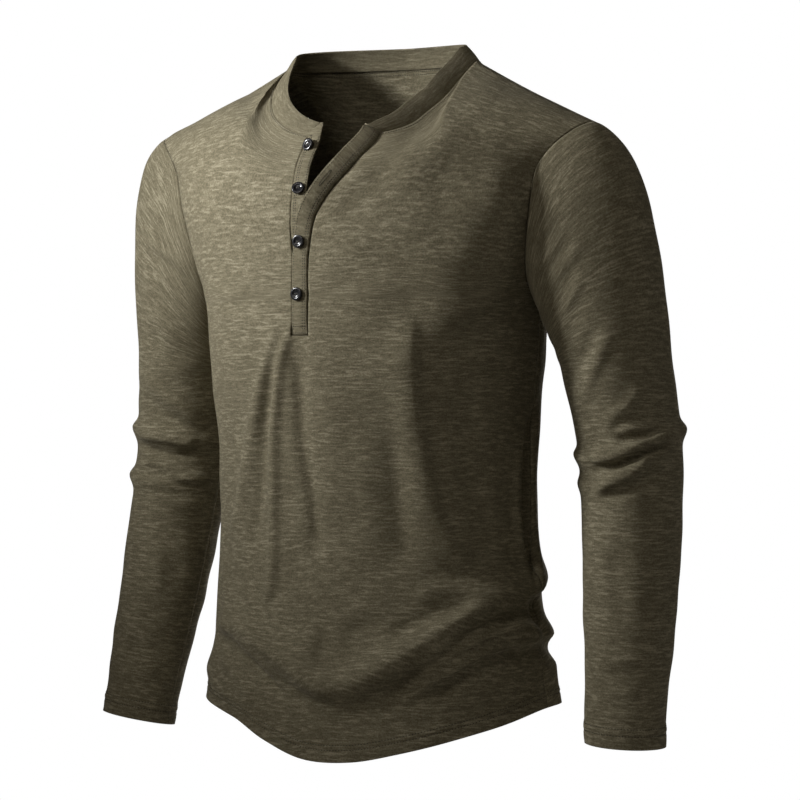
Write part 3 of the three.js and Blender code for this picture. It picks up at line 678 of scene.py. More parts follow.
class Grid:
    """A surface sampled on a grid, which can be creased, read between its points and made a mesh."""

    def __init__(self, columns: np.ndarray, rows: np.ndarray, surface: Callable, cloth: Callable) -> None:
        """Samples the surface.

        Args:
            columns: the first parameter of each column of points.
            rows: the second parameter of each row.
            surface: gives the points for two arrays of parameters.
            cloth: gives where they lie on the flat cloth, in millimetres across and up.
        """
        self.columns = columns
        self.rows = rows
        mesh = np.meshgrid(columns, rows, indexing="ij")
        self.points = surface(*mesh)
        self.cloth = np.stack(cloth(*mesh), axis=-1)
        self.normals = self.measured_normals()

    def measured_normals(self) -> np.ndarray:
        """The normals of the surface as it is now."""
        return unit(np.cross(np.gradient(self.points, axis=0), np.gradient(self.points, axis=1)))

    def raise_by(self, lift: np.ndarray) -> None:
        """Moves the points out along the normals."""
        self.points = self.points + self.normals * lift[..., None]
        self.normals = self.measured_normals()

    def turn_hem(self, depth: np.ndarray, rows: tuple[float, float]) -> None:
        """Thickens the turned hem, with a groove along each row of its stitching and a slight waver.

        Args:
            depth: of each place above the edge, in millimetres.
            rows: of stitches, their depths.
        """
        rise = 0.9 * (1 - smoothstep(depth, rows[1] + 0.5, rows[1] + 2.5))
        for row in rows:
            rise = rise - 0.75 * np.exp(-(((depth - row) / 1.2) ** 2))
        waver = 0.25 * np.sin(self.cloth[..., 0] * 0.55) * np.exp(-(((depth - rows[1]) / 7) ** 2))
        self.raise_by(rise + waver)

    def crease(self, creases: tuple[Crease, ...]) -> None:
        """Raises the creases where the surface faces the photograph's viewpoint."""
        eye = np.array([math.sin(EYE_TURN), -math.cos(EYE_TURN), 0])
        facing = smoothstep(self.normals @ eye, -0.05, 0.22)
        across, down = on_picture(self.points)
        self.raise_by(sum(crease.lift(across, down) for crease in creases) * facing)

    def ripple(self, height: float, seed: int) -> None:
        """Adds faint unevenness, different for each piece."""
        random = np.random.default_rng(seed)
        lift = np.zeros(self.points.shape[:2])
        for _ in range(RIPPLES):
            turn = random.uniform(-0.9, 0.9) + math.pi / 2 * (random.random() < 0.6)
            wave = 2 * math.pi / random.uniform(34, 90)
            phase = random.uniform(0, 6.28)
            place = self.cloth[..., 0] * math.cos(turn) + self.cloth[..., 1] * math.sin(turn)
            sway = 9 * np.sin(self.cloth[..., 1] * 0.021 + phase)
            sway = sway + 7 * np.sin(self.cloth[..., 0] * 0.027 + 2 * phase)
            lift += np.sin((place + sway) * wave + phase)
        i, j = (np.minimum(steps, steps[::-1]) for steps in map(np.arange, lift.shape))
        inside = smoothstep(np.minimum(i[:, None], j), 0, 6)
        self.raise_by(height * lift / RIPPLES**0.5 * inside)

    def at(self, columns: np.ndarray, rows: np.ndarray) -> tuple[np.ndarray, np.ndarray]:
        """Points and normals between the grid's points.

        Args:
            columns: first parameters.
            rows: second parameters.

        Returns:
            The points and the normals.
        """
        order = 1 if self.columns[-1] > self.columns[0] else -1
        i = np.interp(order * columns, order * self.columns, np.arange(len(self.columns)))
        j = np.interp(rows, self.rows, np.arange(len(self.rows)))
        low_i = np.clip(i.astype(int), 0, len(self.columns) - 2)
        low_j = np.clip(j.astype(int), 0, len(self.rows) - 2)
        share_i = (i - low_i)[:, None]
        share_j = (j - low_j)[:, None]

        def between(values: np.ndarray) -> np.ndarray:
            """Reads an array between its entries."""
            first = values[low_i, low_j] * (1 - share_j) + values[low_i, low_j + 1] * share_j
            second = values[low_i + 1, low_j] * (1 - share_j) + values[low_i + 1, low_j + 1] * share_j
            return first * (1 - share_i) + second * share_i

        return between(self.points), unit(between(self.normals))

    def make(self, name: str, thickness: float, is_cut: Callable | None = None) -> bpy.types.Object:
        """Makes the cloth.

        Args:
            name: of the object.
            thickness: of the cloth, inward from the surface.
            is_cut: says which cells, by column and row, are left out.

        Returns:
            The object.
        """
        across = len(self.columns) - 1
        up = len(self.rows) - 1
        bm = bmesh.new()
        bm.loops.layers.uv.new("cloth")
        bmesh.ops.create_grid(bm, x_segments=across, y_segments=up, size=1)
        if is_cut:
            middles = {face: (face.calc_center_median() + Vector((1, 1, 0))) / 2 for face in bm.faces}
            cut = [face for face, (x, y, _) in middles.items() if is_cut(int(x * across), int(y * up))]
            bmesh.ops.delete(bm, geom=cut, context="FACES")
        mesh = bpy.data.meshes.new(name)
        bm.to_mesh(mesh)
        bm.free()
        flat = np.zeros(len(mesh.vertices) * 3)
        mesh.vertices.foreach_get("co", flat)
        place = flat.reshape(-1, 3)
        i = np.rint((place[:, 0] + 1) / 2 * across).astype(int)
        j = np.rint((place[:, 1] + 1) / 2 * up).astype(int)
        mesh.vertices.foreach_set("co", (self.points[i, j] * MM).ravel())
        corner = np.zeros(len(mesh.loops), int)
        mesh.loops.foreach_get("vertex_index", corner)
        mesh.uv_layers["cloth"].data.foreach_set("uv", (self.cloth[i, j][corner] * MM).ravel())
        mesh.shade_smooth()
        made = add(name, mesh)
        solidify = made.modifiers.new("cloth", "SOLIDIFY")
        solidify.thickness = thickness * MM
        solidify.offset = -1
        return made


class Placket:
    """A placket strip. The left one buttons over the right one."""

    def __init__(self, hand: Hand) -> None:
        """Names the strip by the side that it is sewn to."""
        self.hand = hand
        self.width = OVER_WIDTH if hand is Hand.LEFT else UNDER_WIDTH

    def height(self, across: np.ndarray, z: np.ndarray) -> np.ndarray:
        """How proud of the front its outer face is."""
        over = 0.5 + 1.1 * smoothstep(z, PLACKET_FOOT_Z, PLACKET_FOOT_Z + 20)
        if self.hand is Hand.LEFT:
            return 0.3 + (over - 0.3) * np.minimum(across / 0.06, 1)
        under = over - 2.8
        return under + (0.3 - under) * smoothstep(z, -192, -165)

    def point(self, across: np.ndarray, climb: np.ndarray) -> np.ndarray:
        """Points of the strip: across is 0 at its seam and 1 at its free edge."""
        across, climb = np.broadcast_arrays(np.asarray(across, float), np.asarray(climb, float))
        column = np.full(climb.shape, self.hand * SLOT_COLUMN)
        edge = Body.panel("front", column, climb)
        normal = Body.normal("front", column, climb)
        inward = unit(np.cross(normal, Body.upward("front", column, climb))) * self.hand
        _, z = Body.place("front", column, np.minimum(climb, 2))
        key = np.where(climb > 2, edge[..., 2], z)
        twist = np.radians(OPENING.read("twist", key)) if self.hand is Hand.LEFT else 0 * key
        reach = PLACKET_CLEARANCE + across * self.width
        proud = self.height(across, edge[..., 2]) - reach**2 / (2 * PLACKET_CURVE)
        inward_by = reach * np.cos(twist)
        outward_by = reach * np.sin(twist) + proud
        return edge + inward * inward_by[..., None] + normal * outward_by[..., None]

    def normal(self, across: float, climb: float) -> np.ndarray:
        """The outward normal at a place."""
        inward = self.point(1, climb) - self.point(0.14, climb)
        upward = self.point(across, min(climb + PROBE, 3)) - self.point(across, climb - PROBE)
        return unit(np.cross(upward, inward)) * self.hand

    def climb_at(self, z: float) -> float:
        """The climb at which its middle reaches a height."""
        climbs = np.linspace(slot_row(), 3, 1500)
        heights = self.point(np.full(climbs.shape, 0.5), climbs)[:, 2]
        return float(climbs[np.argmax(heights >= z)])

    def grid(self) -> Grid:
        """The strip, with a rounded free edge."""
        across = np.concatenate([[0, 0.03, 0.08], np.linspace(0.14, 0.94, 12), [0.975, 1]])
        climbs = np.concatenate([np.linspace(slot_row() + 0.0015, 1, 16), np.linspace(1, 3, 70)[1:]])
        if self.hand is Hand.LEFT:
            across = across[::-1]
        return Grid(across, climbs, self.surface, lambda a, c: (a * self.width, self.up_cloth(c)))

    def surface(self, across: np.ndarray, climb: np.ndarray) -> np.ndarray:
        """The strip's points with its sewn edges pressed down a little."""
        point = self.point(across, climb)
        along = np.gradient(point, axis=1)
        aside = np.gradient(point, axis=0)
        normal = unit(np.cross(aside, along))
        pressed = 0.55 * np.exp(-(((1 - across) * self.width / 1.2) ** 2))
        puff = 0.35 * np.sin(math.pi * np.clip(across, 0, 1)) ** 2
        return point + normal * (puff - pressed)[..., None]

    @staticmethod
    def up_cloth(climb: np.ndarray) -> np.ndarray:
        """Height on the flat cloth."""
        return np.interp(climb, [0, 1, 2, 3], [FLAT_FOOT_Z, ARMPIT_Z, YOKE_Z, YOKE_Z + 110])


def slot_row() -> float:
    """The climb of the placket's foot."""
    low = float(HEM.read("z", 0))
    return (PLACKET_FOOT_Z - low) / (ARMPIT_Z - low)


def neck_column() -> float:
    """The front's column at which the neckline meets the shoulder seam."""
    slot = float(Body.slot_share(np.array(3.0)))
    return SLOT_COLUMN + (NECK_SHARE - slot) / (1 - slot) * (1 - SLOT_COLUMN)


class Finish:
    """Sockets of a node tree that take part in sums and products, and the few nodes that they need."""

    def __init__(self, tree: bpy.types.NodeTree, socket: bpy.types.NodeSocket | None) -> None:
        """Wraps a socket, or none where only nodes are to be added."""
        self.tree = tree
        self.socket = socket

    def node(self, kind: str, inputs: dict, output: str | int = 0, **settings) -> "Finish":
        """Adds a node.

        Args:
            kind: the node's type.
            inputs: wrapped sockets or plain values by input name or number.
            output: the output that is wrapped.
            **settings: the node's own properties.

        Returns:
            The wrapped output.
        """
        made = self.tree.nodes.new(kind)
        for name, value in settings.items():
            setattr(made, name, value)
        self.fill(made, inputs)
        return Finish(self.tree, made.outputs[output])

    def fill(self, made: bpy.types.Node, inputs: dict) -> None:
        """Links or sets a node's inputs, by name or number."""
        for name, value in inputs.items():
            if isinstance(value, Finish):
                self.tree.links.new(value.socket, made.inputs[name])
            else:
                made.inputs[name].default_value = value

    def math(self, operation: str, first: "Finish | float", second: "Finish | float") -> "Finish":
        """One step of arithmetic."""
        return self.node("ShaderNodeMath", {0: first, 1: second}, operation=operation)

    def __add__(self, other: "Finish | float") -> "Finish":
        """Sum."""
        return self.math("ADD", self, other)

    def __radd__(self, other: "Finish | float") -> "Finish":
        """Sum with a number on the left."""
        return self.math("ADD", other, self)

    def __sub__(self, other: "Finish | float") -> "Finish":
        """Difference."""
        return self.math("SUBTRACT", self, other)

    def __rsub__(self, other: "Finish | float") -> "Finish":
        """Difference from a number."""
        return self.math("SUBTRACT", other, self)

    def __mul__(self, other: "Finish | float") -> "Finish":
        """Product."""
        return self.math("MULTIPLY", self, other)

    def __rmul__(self, other: "Finish | float") -> "Finish":
        """Product with a number on the left."""
        return self.math("MULTIPLY", other, self)

    def between(self, low: float, high: float) -> "Finish":
        """A soft step from 0 to 1 between two values."""
        inputs = {"Value": self, "From Min": low, "From Max": high}
        return self.node("ShaderNodeMapRange", inputs, interpolation_type="SMOOTHSTEP")

    def streaks(self, across: float, up: float, detail: float = 2, seed: float = 0) -> "Finish":
        """Noise on these coordinates, which are in metres, with its grains drawn out.

        Args:
            across: grains to the metre across the cloth.
            up: grains to the metre up the cloth.
            detail: octaves.
            seed: shifts the pattern.

        Returns:
            The wrapped noise, about 0.5 on average.
        """
        inputs = {"Vector": self, "Scale": (across, up, 1), "Location": (seed, 2 * seed, 3 * seed)}
        moved = self.node("ShaderNodeMapping", inputs)
        return self.node("ShaderNodeTexNoise", {"Vector": moved, "Scale": 1.0, "Detail": detail}, "Fac")

    def mix(self, first: "tuple | Finish", second: tuple) -> "Finish":
        """A colour between two, by this share."""
        first = first if isinstance(first, Finish) else (*first, 1)
        return self.node("ShaderNodeMix", {0: self, 6: first, 7: (*second, 1)}, 2, data_type="RGBA")


class Paint:
    """A material in the making."""

    def __init__(self, name: str, coordinates: str) -> None:
        """Starts the material and wraps its coordinates."""
        self.material = bpy.data.materials.new(name)
        self.material.use_nodes = True
        tree = self.material.node_tree
        self.shader = tree.nodes["Principled BSDF"]
        self.place = Finish(tree, None).node("ShaderNodeTexCoord", {}, coordinates)

    def fill(self, inputs: dict) -> bpy.types.Material:
        """Links or sets the shader's inputs."""
        self.place.fill(self.shader, inputs)
        return self.material


@dataclass(frozen=True)
class Jersey:
    """Slub jersey: a fine knit with thicker yarn here and there that runs across it in light streaks."""

    name: str = "slub_jersey"
    dark: tuple[float, float, float] = (0.120, 0.104, 0.064)
    middle: tuple[float, float, float] = (0.182, 0.161, 0.104)
    light: tuple[float, float, float] = (0.300, 0.270, 0.185)
    contrast: float = 1.0

    def make(self) -> bpy.types.Material:
        """The material, on the cloth's own flat coordinates."""
        paint = Paint(self.name, "UV")
        place = paint.place
        fine = place.streaks(240, 900, 3, 1.3)
        slub = place.streaks(90, 480, 2, 7.7)
        long_slub = place.streaks(55, 420, 1, 4.1)
        patches = place.streaks(18, 40, 2, 11.9)
        speckle = place.streaks(700, 820, 2, 2.9)
        wales = place.streaks(1100, 260, 1, 5.5)
        streak = slub.between(0.44, 0.64) * 0.5 + long_slub.between(0.48, 0.66) * 0.5
        streak = streak * (0.7 + patches.between(0.35, 0.65) * 0.3) + (fine - 0.5) * 0.6
        tone = 0.2 + (streak * 0.85 + (speckle - 0.5) * 1.5) * self.contrast
        lower = tone.between(0.0, 0.45).mix(self.dark, self.middle)
        relief = streak * 0.6 + (speckle - 0.5) * 0.8 + (wales - 0.5) * 0.6
        bump = {"Strength": 0.5, "Distance": 0.0005, "Height": relief}
        return paint.fill(
            {
                "Base Color": tone.between(0.40, 1.05).mix(lower, self.light),
                "Roughness": 0.9 - streak * 0.12,
                "Normal": place.node("ShaderNodeBump", bump, "Normal"),
                "Sheen Weight": 0.12,
                "Sheen Roughness": 0.45,
                "Sheen Tint": (0.85, 0.80, 0.66, 1),
                "Specular IOR Level": 0.25,
            }
        )


@dataclass(frozen=True)
class ThreadWithPaintedShade:
    """Sewing thread, twisted, much darker than the cloth: its own tone plus painted shade, so that its
    stitches read as dark dots of needle holes in shadow.
    """

    name: str = "thread"
    # Partly the thread's own tone and partly painted shade of the needle holes along each row.
    colour: tuple[float, float, float] = (0.036, 0.031, 0.020)

    def make(self) -> bpy.types.Material:
        """The material."""
        paint = Paint(self.name, "Object")
        darker = tuple(0.6 * part for part in self.colour)
        twist = paint.place.streaks(2600, 2600, 1)
        return paint.fill({"Base Color": twist.mix(darker, self.colour), "Roughness": 0.6})


@dataclass(frozen=True)
class Gloss:
    """Black button plastic, polished, with faint swirls."""

    name: str = "button_black"

    def make(self) -> bpy.types.Material:
        """The material."""
        paint = Paint(self.name, "Object")
        swirl = paint.place.streaks(260, 260, 3)
        return paint.fill(
            {
                "Base Color": swirl.mix((0.006, 0.006, 0.007), (0.020, 0.020, 0.023)),
                "Roughness": 0.2 + paint.place.streaks(900, 900, 2, 3.0) * 0.12,
                "Coat Weight": 0.25,
                "Coat Roughness": 0.06,
            }
        )


@dataclass
class Stitching:
    """Rows of stitches, each a small grain of thread half sunk in the cloth."""

    name: str
    material: bpy.types.Material

    def __post_init__(self) -> None:
        """Starts an empty mesh."""
        self.bm = bmesh.new()
        self.count = 0

    def row(
        self, points: np.ndarray, normals: np.ndarray, pitch: float = STITCH_PITCH, share: float = 0.55
    ) -> None:
        """Sews along a line.

        Args:
            points: of the line, in millimetres.
            normals: of the cloth there.
            pitch: from one stitch to the next.
            share: of the pitch that a stitch fills.
        """
        so_far = lengths_along(points)
        for centre in np.arange(pitch / 2, so_far[-1], pitch):
            half = pitch * share / 2
            start, middle, end = (self.read(points, so_far, centre + k * half) for k in (-1, 0, 1))
            normal = Vector(self.read(normals, so_far, centre)).normalized()
            run = Vector(end - start).normalized()
            side = normal.cross(run).normalized()
            size = (half, 0.5, 0.42)
            columns = [axis * length * MM for axis, length in zip((run, side, normal), size)]
            matrix = Matrix(columns).transposed().to_4x4()
            matrix.translation = (Vector(middle) + normal * 0.06) * MM
            bmesh.ops.create_icosphere(self.bm, subdivisions=1, radius=1, matrix=matrix)
            self.count += 1

    @staticmethod
    def read(values: np.ndarray, so_far: np.ndarray, place: float) -> np.ndarray:
        """Reads an array at a distance along the line."""
        return np.array([np.interp(place, so_far, values[:, k]) for k in range(3)])

    def make(self) -> None:
        """Makes the object of all the rows."""
        made = add_mesh(self.name, self.bm, self.material)
        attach(made, "root")
        log.info("%s: %d stitches", self.name, self.count)


def dress(
    made: bpy.types.Object, material: bpy.types.Material, node: str, flat: tuple
) -> None:
    """Finishes a piece of cloth.

    Args:
        made: the piece.
        material: its material.
        node: the solid that it stands for.
        flat: width and length of its cut, in metres; not used.
    """
    made.data.materials.append(material)
    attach(made, "root")
    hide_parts(node)
    log.info("%s: %d faces", made.name, len(made.data.polygons))


@dataclass
class BodyCloth:
    """The front and back, with their hems and neckline stitching."""

    jersey: bpy.types.Material
    thread: bpy.types.Material

    def panel_rows(self) -> np.ndarray:
        """Rows of both panels, closer together at the hem."""
        hem = np.linspace(0, 22 / PANEL_RUN, 23)
        low = np.linspace(22 / PANEL_RUN, slot_row(), 112)[1:]
        chest = np.linspace(slot_row(), 1, 12)[1:]
        yoke = 1 + 2 / math.pi * np.arccos(1 - np.linspace(0, 1, 42)[1:])
        return np.concatenate([hem, low, chest, yoke, np.linspace(2, 3, 36)[1:]])

    def grid(self, side: str, columns: np.ndarray) -> Grid:
        """The creased surface of a panel."""

        def cloth(column: np.ndarray, climb: np.ndarray) -> tuple[np.ndarray, np.ndarray]:
            """Where a place lies on the flat cloth."""
            across = column * FLAT_HALF * (1 + 0.06 * np.cos(climb * 2))
            hem_rise = HEM.read("z", column * 90) - FLAT_FOOT_Z
            up = Placket.up_cloth(climb) + hem_rise * (1 - np.clip(climb, 0, 1))
            return across + PATTERN_SHIFT[side], up

        made = Grid(columns, self.panel_rows(), lambda c, r: Body.panel(side, c, r), cloth)
        column, climb = np.meshgrid(columns, made.rows, indexing="ij")
        if side == "back":
            angle, z = Body.place(side, column, np.minimum(climb, 2))
            rise = sum(fold.lift(BODY_RADIUS, angle, z) for fold in HIDDEN_BODY_FOLDS)
            made.raise_by(rise * (climb <= 2))
        made.ripple(0.45, RIPPLE_SEED[side])
        made.crease(TORSO_CREASES)
        made.turn_hem(climb * PANEL_RUN, HEM_ROWS)
        return made

    def build(self) -> None:
        """Makes both panels and sews their edges."""
        neck = neck_column()
        half = np.concatenate([np.linspace(SLOT_COLUMN, neck, 40), np.linspace(neck, EDGE_SHARE, 62)[1:]])
        middle = np.linspace(-SLOT_COLUMN, SLOT_COLUMN, 8)[1:-1]
        columns = np.concatenate([-half[::-1], middle, half])
        front = self.grid("front", columns)
        first_slot = len(half) - 1
        foot = int(np.argmin(np.abs(front.rows - slot_row())))
        piece = front.make(
            "front_cloth", CLOTH, lambda i, j: first_slot <= i < first_slot + len(middle) + 1 and j >= foot
        )
        dress(piece, self.jersey, "front", (0.54, 0.70))
        neck_part = np.linspace(1e-6, NECK_SHARE, 26)
        half = np.concatenate([neck_part, np.linspace(NECK_SHARE, EDGE_SHARE, 40)[1:]])
        back = self.grid("back", np.concatenate([half[::-1], -half[1:]]))
        dress(back.make("back_cloth", CLOTH), self.jersey, "back", (0.54, 0.71))
        self.sew(front, back)

    def sew(self, front: Grid, back: Grid) -> None:
        """Sews the hem and the neckline."""
        stitches = Stitching("stitches_body", self.thread)
        for grid in (front, back):
            columns = np.linspace(-0.995, 0.995, 260)
            for depth in HEM_ROWS:
                stitches.row(*grid.at(columns, np.full(columns.shape, depth / PANEL_RUN)))
        neck = neck_column()
        for hand in (Hand.RIGHT, Hand.LEFT):
            columns = hand * np.linspace(SLOT_COLUMN + 0.004, neck, 60)
            stitches.row(*front.at(columns, np.full(columns.shape, 2.962)), FINE_PITCH)
        columns = np.linspace(-NECK_SHARE, NECK_SHARE, 90)
        for row in (2.972, 2.945):
            points, normals = back.at(columns, np.full(columns.shape, row))
            stitches.row(points, normals, FINE_PITCH)
            stitches.row(points - normals * CLOTH, -normals, FINE_PITCH)
        stitches.make()


@dataclass
class SleeveCloth:
    """A sleeve, with its cuff."""

    hand: Hand
    jersey: bpy.types.Material
    thread: bpy.types.Material

    def start(self, turn: np.ndarray) -> tuple[np.ndarray, np.ndarray]:
        """Where the cloth leaves the armhole, and which way."""
        climb = self.climb(turn)
        edge = self.armhole(turn)
        normal = self.on_panels(Body.normal, turn)
        slope = SHOULDER_TIP[2] / (SHOULDER_TIP[0] - NECK_HALF)
        on_top = unit(np.array([-self.hand * slope, 0, 1.0]))
        normal = np.where((climb > 2.99)[..., None], on_top, normal)
        onward = self.armhole(turn + 1) - self.armhole(turn - 1)
        aside = unit(np.cross(normal, onward)) * self.hand * 0.3
        cos = np.cos(np.radians(turn))
        sin = np.sin(np.radians(turn))
        low = (1 - cos) / 2
        run = np.stack([self.hand * (0.56 + 0.34 * cos), 0.1 - 0.15 * sin, 0.33 * cos - 0.68], axis=-1)
        return edge + aside + normal * (0.4 * low)[..., None], unit(run)

    @staticmethod
    def climb(turn: np.ndarray) -> np.ndarray:
        """How far up the panels a place on the armhole lies."""
        return 3 - np.minimum(turn % 360, -turn % 360) / 90

    def on_panels(self, read: Callable, turn: np.ndarray) -> np.ndarray:
        """Reads the back's edge where the armhole is behind, and the front's elsewhere."""
        column = np.full(turn.shape, float(self.hand))
        climb = self.climb(turn)
        behind = (turn % 360 > 180)[..., None]
        return np.where(behind, read("back", column, climb), read("front", column, climb))

    def armhole(self, turn: np.ndarray) -> np.ndarray:
        """Points on the armhole's edge."""
        return self.on_panels(Body.panel, turn)

    def arm(self, turn: np.ndarray, z: np.ndarray) -> np.ndarray:
        """Points of the sleeve below its cap."""
        angle = np.radians(turn)
        x = ARM.read("x", z) + ARM.read("across", z) * np.cos(angle)
        y = ARM.read("back", z) - ARM.read("deep", z) * np.sin(angle)
        return Body.lean(np.stack([self.hand * x, y, z + 0 * x], axis=-1))

    def point(self, turn: np.ndarray, drop: np.ndarray) -> np.ndarray:
        """Points of the sleeve.

        Args:
            turn: 0 on top, 90 in front, 180 at the armpit and 270 behind.
            drop: 0 at the armhole, 1 at the foot of the cap and 2 at the cuff.

        Returns:
            The points.
        """
        around = turn[:, 0]
        edge, run = (values[:, None] for values in self.start(around))
        end = self.arm(turn, np.full(turn.shape, float(CAP_FOOT_Z)))
        reach = CAP_FULLNESS * np.linalg.norm(edge - end, axis=-1, keepdims=True)
        fall = unit(self.arm(turn, np.full(turn.shape, CAP_FOOT_Z - 1.0)) - end) * reach
        cap = cubic(edge, run * reach, end, fall, np.clip(drop, 0, 1)[..., None])
        cuff = CUFF_Z + CUFF_RISE[self.hand] * np.cos(np.radians(turn - CUFF_HIGH))
        low = self.arm(turn, CAP_FOOT_Z + (cuff - CAP_FOOT_Z) * np.clip(drop - 1, 0, 1))
        point = np.where((drop < 1)[..., None], cap, low)
        rise = sum(fold.lift(ARM_RADIUS, turn, point[..., 2]) for fold in ARM_FOLDS[self.hand])
        rise = rise * smoothstep(drop, 0.2, 0.8)
        point[..., 0] += self.hand * rise * np.cos(np.radians(turn))
        point[..., 1] -= rise * np.sin(np.radians(turn))
        return point

    def build(self) -> None:
        """Makes the sleeve and sews its cuff."""
        turns = np.linspace(-180, 180, 105) * self.hand
        spans = ((0, 1, 66), (1, 1.45, 90), (1.45, 1.94, 62), (1.94, 2, 22))
        drops = np.concatenate([[0]] + [np.linspace(*span)[1:] for span in spans])

        def cloth(turn: np.ndarray, drop: np.ndarray) -> tuple[np.ndarray, np.ndarray]:
            """Where a place lies on the flat cloth."""
            across = np.radians(turn) * (ARM_RADIUS - 8 * np.clip(drop - 1, 0, 1))
            up = np.where(drop < 1, -CAP_RUN * drop, -CAP_RUN - SLEEVE_RUN * (drop - 1))
            return across + PATTERN_SHIFT[self.hand], up

        made = Grid(turns, drops, self.point, cloth)
        side = self.hand.name.lower()
        made.ripple(0.4, RIPPLE_SEED[self.hand])
        made.crease(SLEEVE_CREASES[self.hand])
        depth = (2 - np.meshgrid(turns, drops, indexing="ij")[1]) * SLEEVE_RUN
        made.turn_hem(depth, CUFF_ROWS)
        piece = made.make(f"sleeve_{side}_cloth", CLOTH)
        dress(piece, self.jersey, f"sleeve_{side}", (0.42, 0.62))
        stitches = Stitching(f"stitches_cuff_{side}", self.thread)
        around = np.linspace(-179, 179, 120) * self.hand
        for depth in CUFF_ROWS:
            stitches.row(*made.at(around, np.full(around.shape, 2 - depth / SLEEVE_RUN)))
        stitches.make()


@dataclass
class NeckCloth:
    """The neckband and both placket strips, with the sewing on them."""

    jersey: bpy.types.Material
    thread: bpy.types.Material

    @staticmethod
    def stations() -> tuple[np.ndarray, np.ndarray, int]:
        """The band's foot from the top of the left placket round to the free edge of the right one.

        Returns:
            The points, the angle round the neck of each and how many lie on the left front.
        """
        neck = neck_column()
        columns = np.linspace(SLOT_COLUMN, neck, 46)
        share = Body.share("front", columns, np.full(columns.shape, 3.0))
        front_angle = share / NECK_SHARE * 90
        back_columns = np.linspace(NECK_SHARE, -NECK_SHARE, 72)[1:-1]
        left = Body.panel("front", columns, 3)
        back = Body.panel("back", back_columns, 3)
        right = Body.panel("front", -columns[::-1], 3)
        end = Placket(Hand.RIGHT).point(np.linspace(0.08, 1, 10), 3)
        points = np.concatenate([left, back, right, end])
        back_angle = 180 - np.abs(back_columns) / NECK_SHARE * 90
        angles = np.concatenate([front_angle, back_angle, front_angle[::-1], np.zeros(10)])
        return points, angles, len(columns)

    def band(self) -> Grid:
        """The neckband, a doubled strip with a soft crown."""
        foot, angles, left = self.stations()
        over = Placket(Hand.LEFT)
        along = unit(np.gradient(foot, axis=0))
        inward = unit(np.stack([-along[:, 1], along[:, 0], 0 * along[:, 0]], axis=-1))
        up = inward * BAND_LEAN.read("inward", angles)[:, None]
        up[:, 2] += BAND_LEAN.read("up", angles)
        side = unit(over.point(1, 3) - over.point(0, 3))
        index = np.arange(len(foot))
        to_placket = np.where(index < left, 1 - smoothstep(index, 0, left - 1), 0)[:, None]
        up = up + (side - up) * to_placket
        up = unit(up - along * (up * along).sum(axis=-1, keepdims=True) * (1 - to_placket))
        lift = unit(over.point(0.5, 3) - over.point(0.5, 2.99)) * 1.2
        foot[0] += lift
        face = unit(np.cross(along, up))
        from_end = len(foot) - 1 - index
        shorter = 1 - 0.17 * (1 - smoothstep(index, 0, 7))
        shorter = shorter * (1 - 0.22 * (1 - smoothstep(from_end, 0, 4)) ** 2)
        slant = 5.5 * (1 - smoothstep(from_end, 0, 12))

        def surface(station: np.ndarray, rise: np.ndarray) -> np.ndarray:
            """Points of the band."""
            i = station.astype(int)
            crown = 0.9 * np.sin(math.pi * np.clip(rise, 0, 1)) ** 0.8 - 0.35
            height = BAND_CLEARANCE + BAND_HEIGHT * rise * shorter[i]
            point = foot[i] + up[i] * height[..., None] + face[i] * crown[..., None]
            return point - along[i] * (slant[i] * np.clip(rise, 0, 1))[..., None]

        around = lengths_along(foot) + PATTERN_SHIFT["neckband"]
        return Grid(
            index.astype(float),
            np.concatenate([[-0.1, -0.04, 0, 0.04, 0.08], np.linspace(0.13, 0.9, 8), [0.95, 0.98, 1]]),
            surface,
            lambda station, rise: (around[station.astype(int)], rise * BAND_HEIGHT),
        )

    def build(self) -> None:
        """Makes the band and both strips, and sews them."""
        band = self.band()
        dress(band.make("neckband_cloth", BAND_CLOTH), self.jersey, "neckband", (0.56, 0.022))
        stitches = Stitching("stitches_neck", self.thread)
        for hand, node in ((Hand.LEFT, "placket_over"), (Hand.RIGHT, "placket_under")):
            placket = Placket(hand)
            grid = placket.grid()
            dress(grid.make(f"{node}_cloth", BAND_CLOTH), self.jersey, node, (placket.width * MM, 0.205))
            self.sew_strip(stitches, placket, grid)
        stitches.make()

    def sew_strip(self, stitches: Stitching, placket: Placket, grid: Grid) -> None:
        """Sews a strip along its edges, across its foot and round its buttonholes."""
        climbs = np.linspace(slot_row() + 0.012, 2.985, 220)
        for inset in (3.0, 5.2, placket.width - 1.7):
            stitches.row(*grid.at(np.full(climbs.shape, inset / placket.width), climbs), FINE_PITCH)
        if placket.hand is Hand.RIGHT:
            return
        across = np.linspace(0.08, 0.93, 20)
        for climb in (0.006, 0.020):
            stitches.row(*grid.at(across, np.full(across.shape, slot_row() + climb)), 2.2)
        self.sew_buttonhole(stitches, placket, grid, -126)

    def sew_buttonhole(self, stitches: Stitching, placket: Placket, grid: Grid, z: float) -> None:
        """Sews a dense oval round an upright buttonhole."""
        centre = placket.climb_at(z)
        rate = (placket.climb_at(z + 4) - placket.climb_at(z - 4)) / 8
        turns = np.linspace(0, 2 * math.pi, 40)
        across = 0.62 + 1.3 / placket.width * np.sin(turns)
        climbs = centre + 7.2 * rate * np.cos(turns)
        stitches.row(*grid.at(across, climbs), 0.8, 0.9)


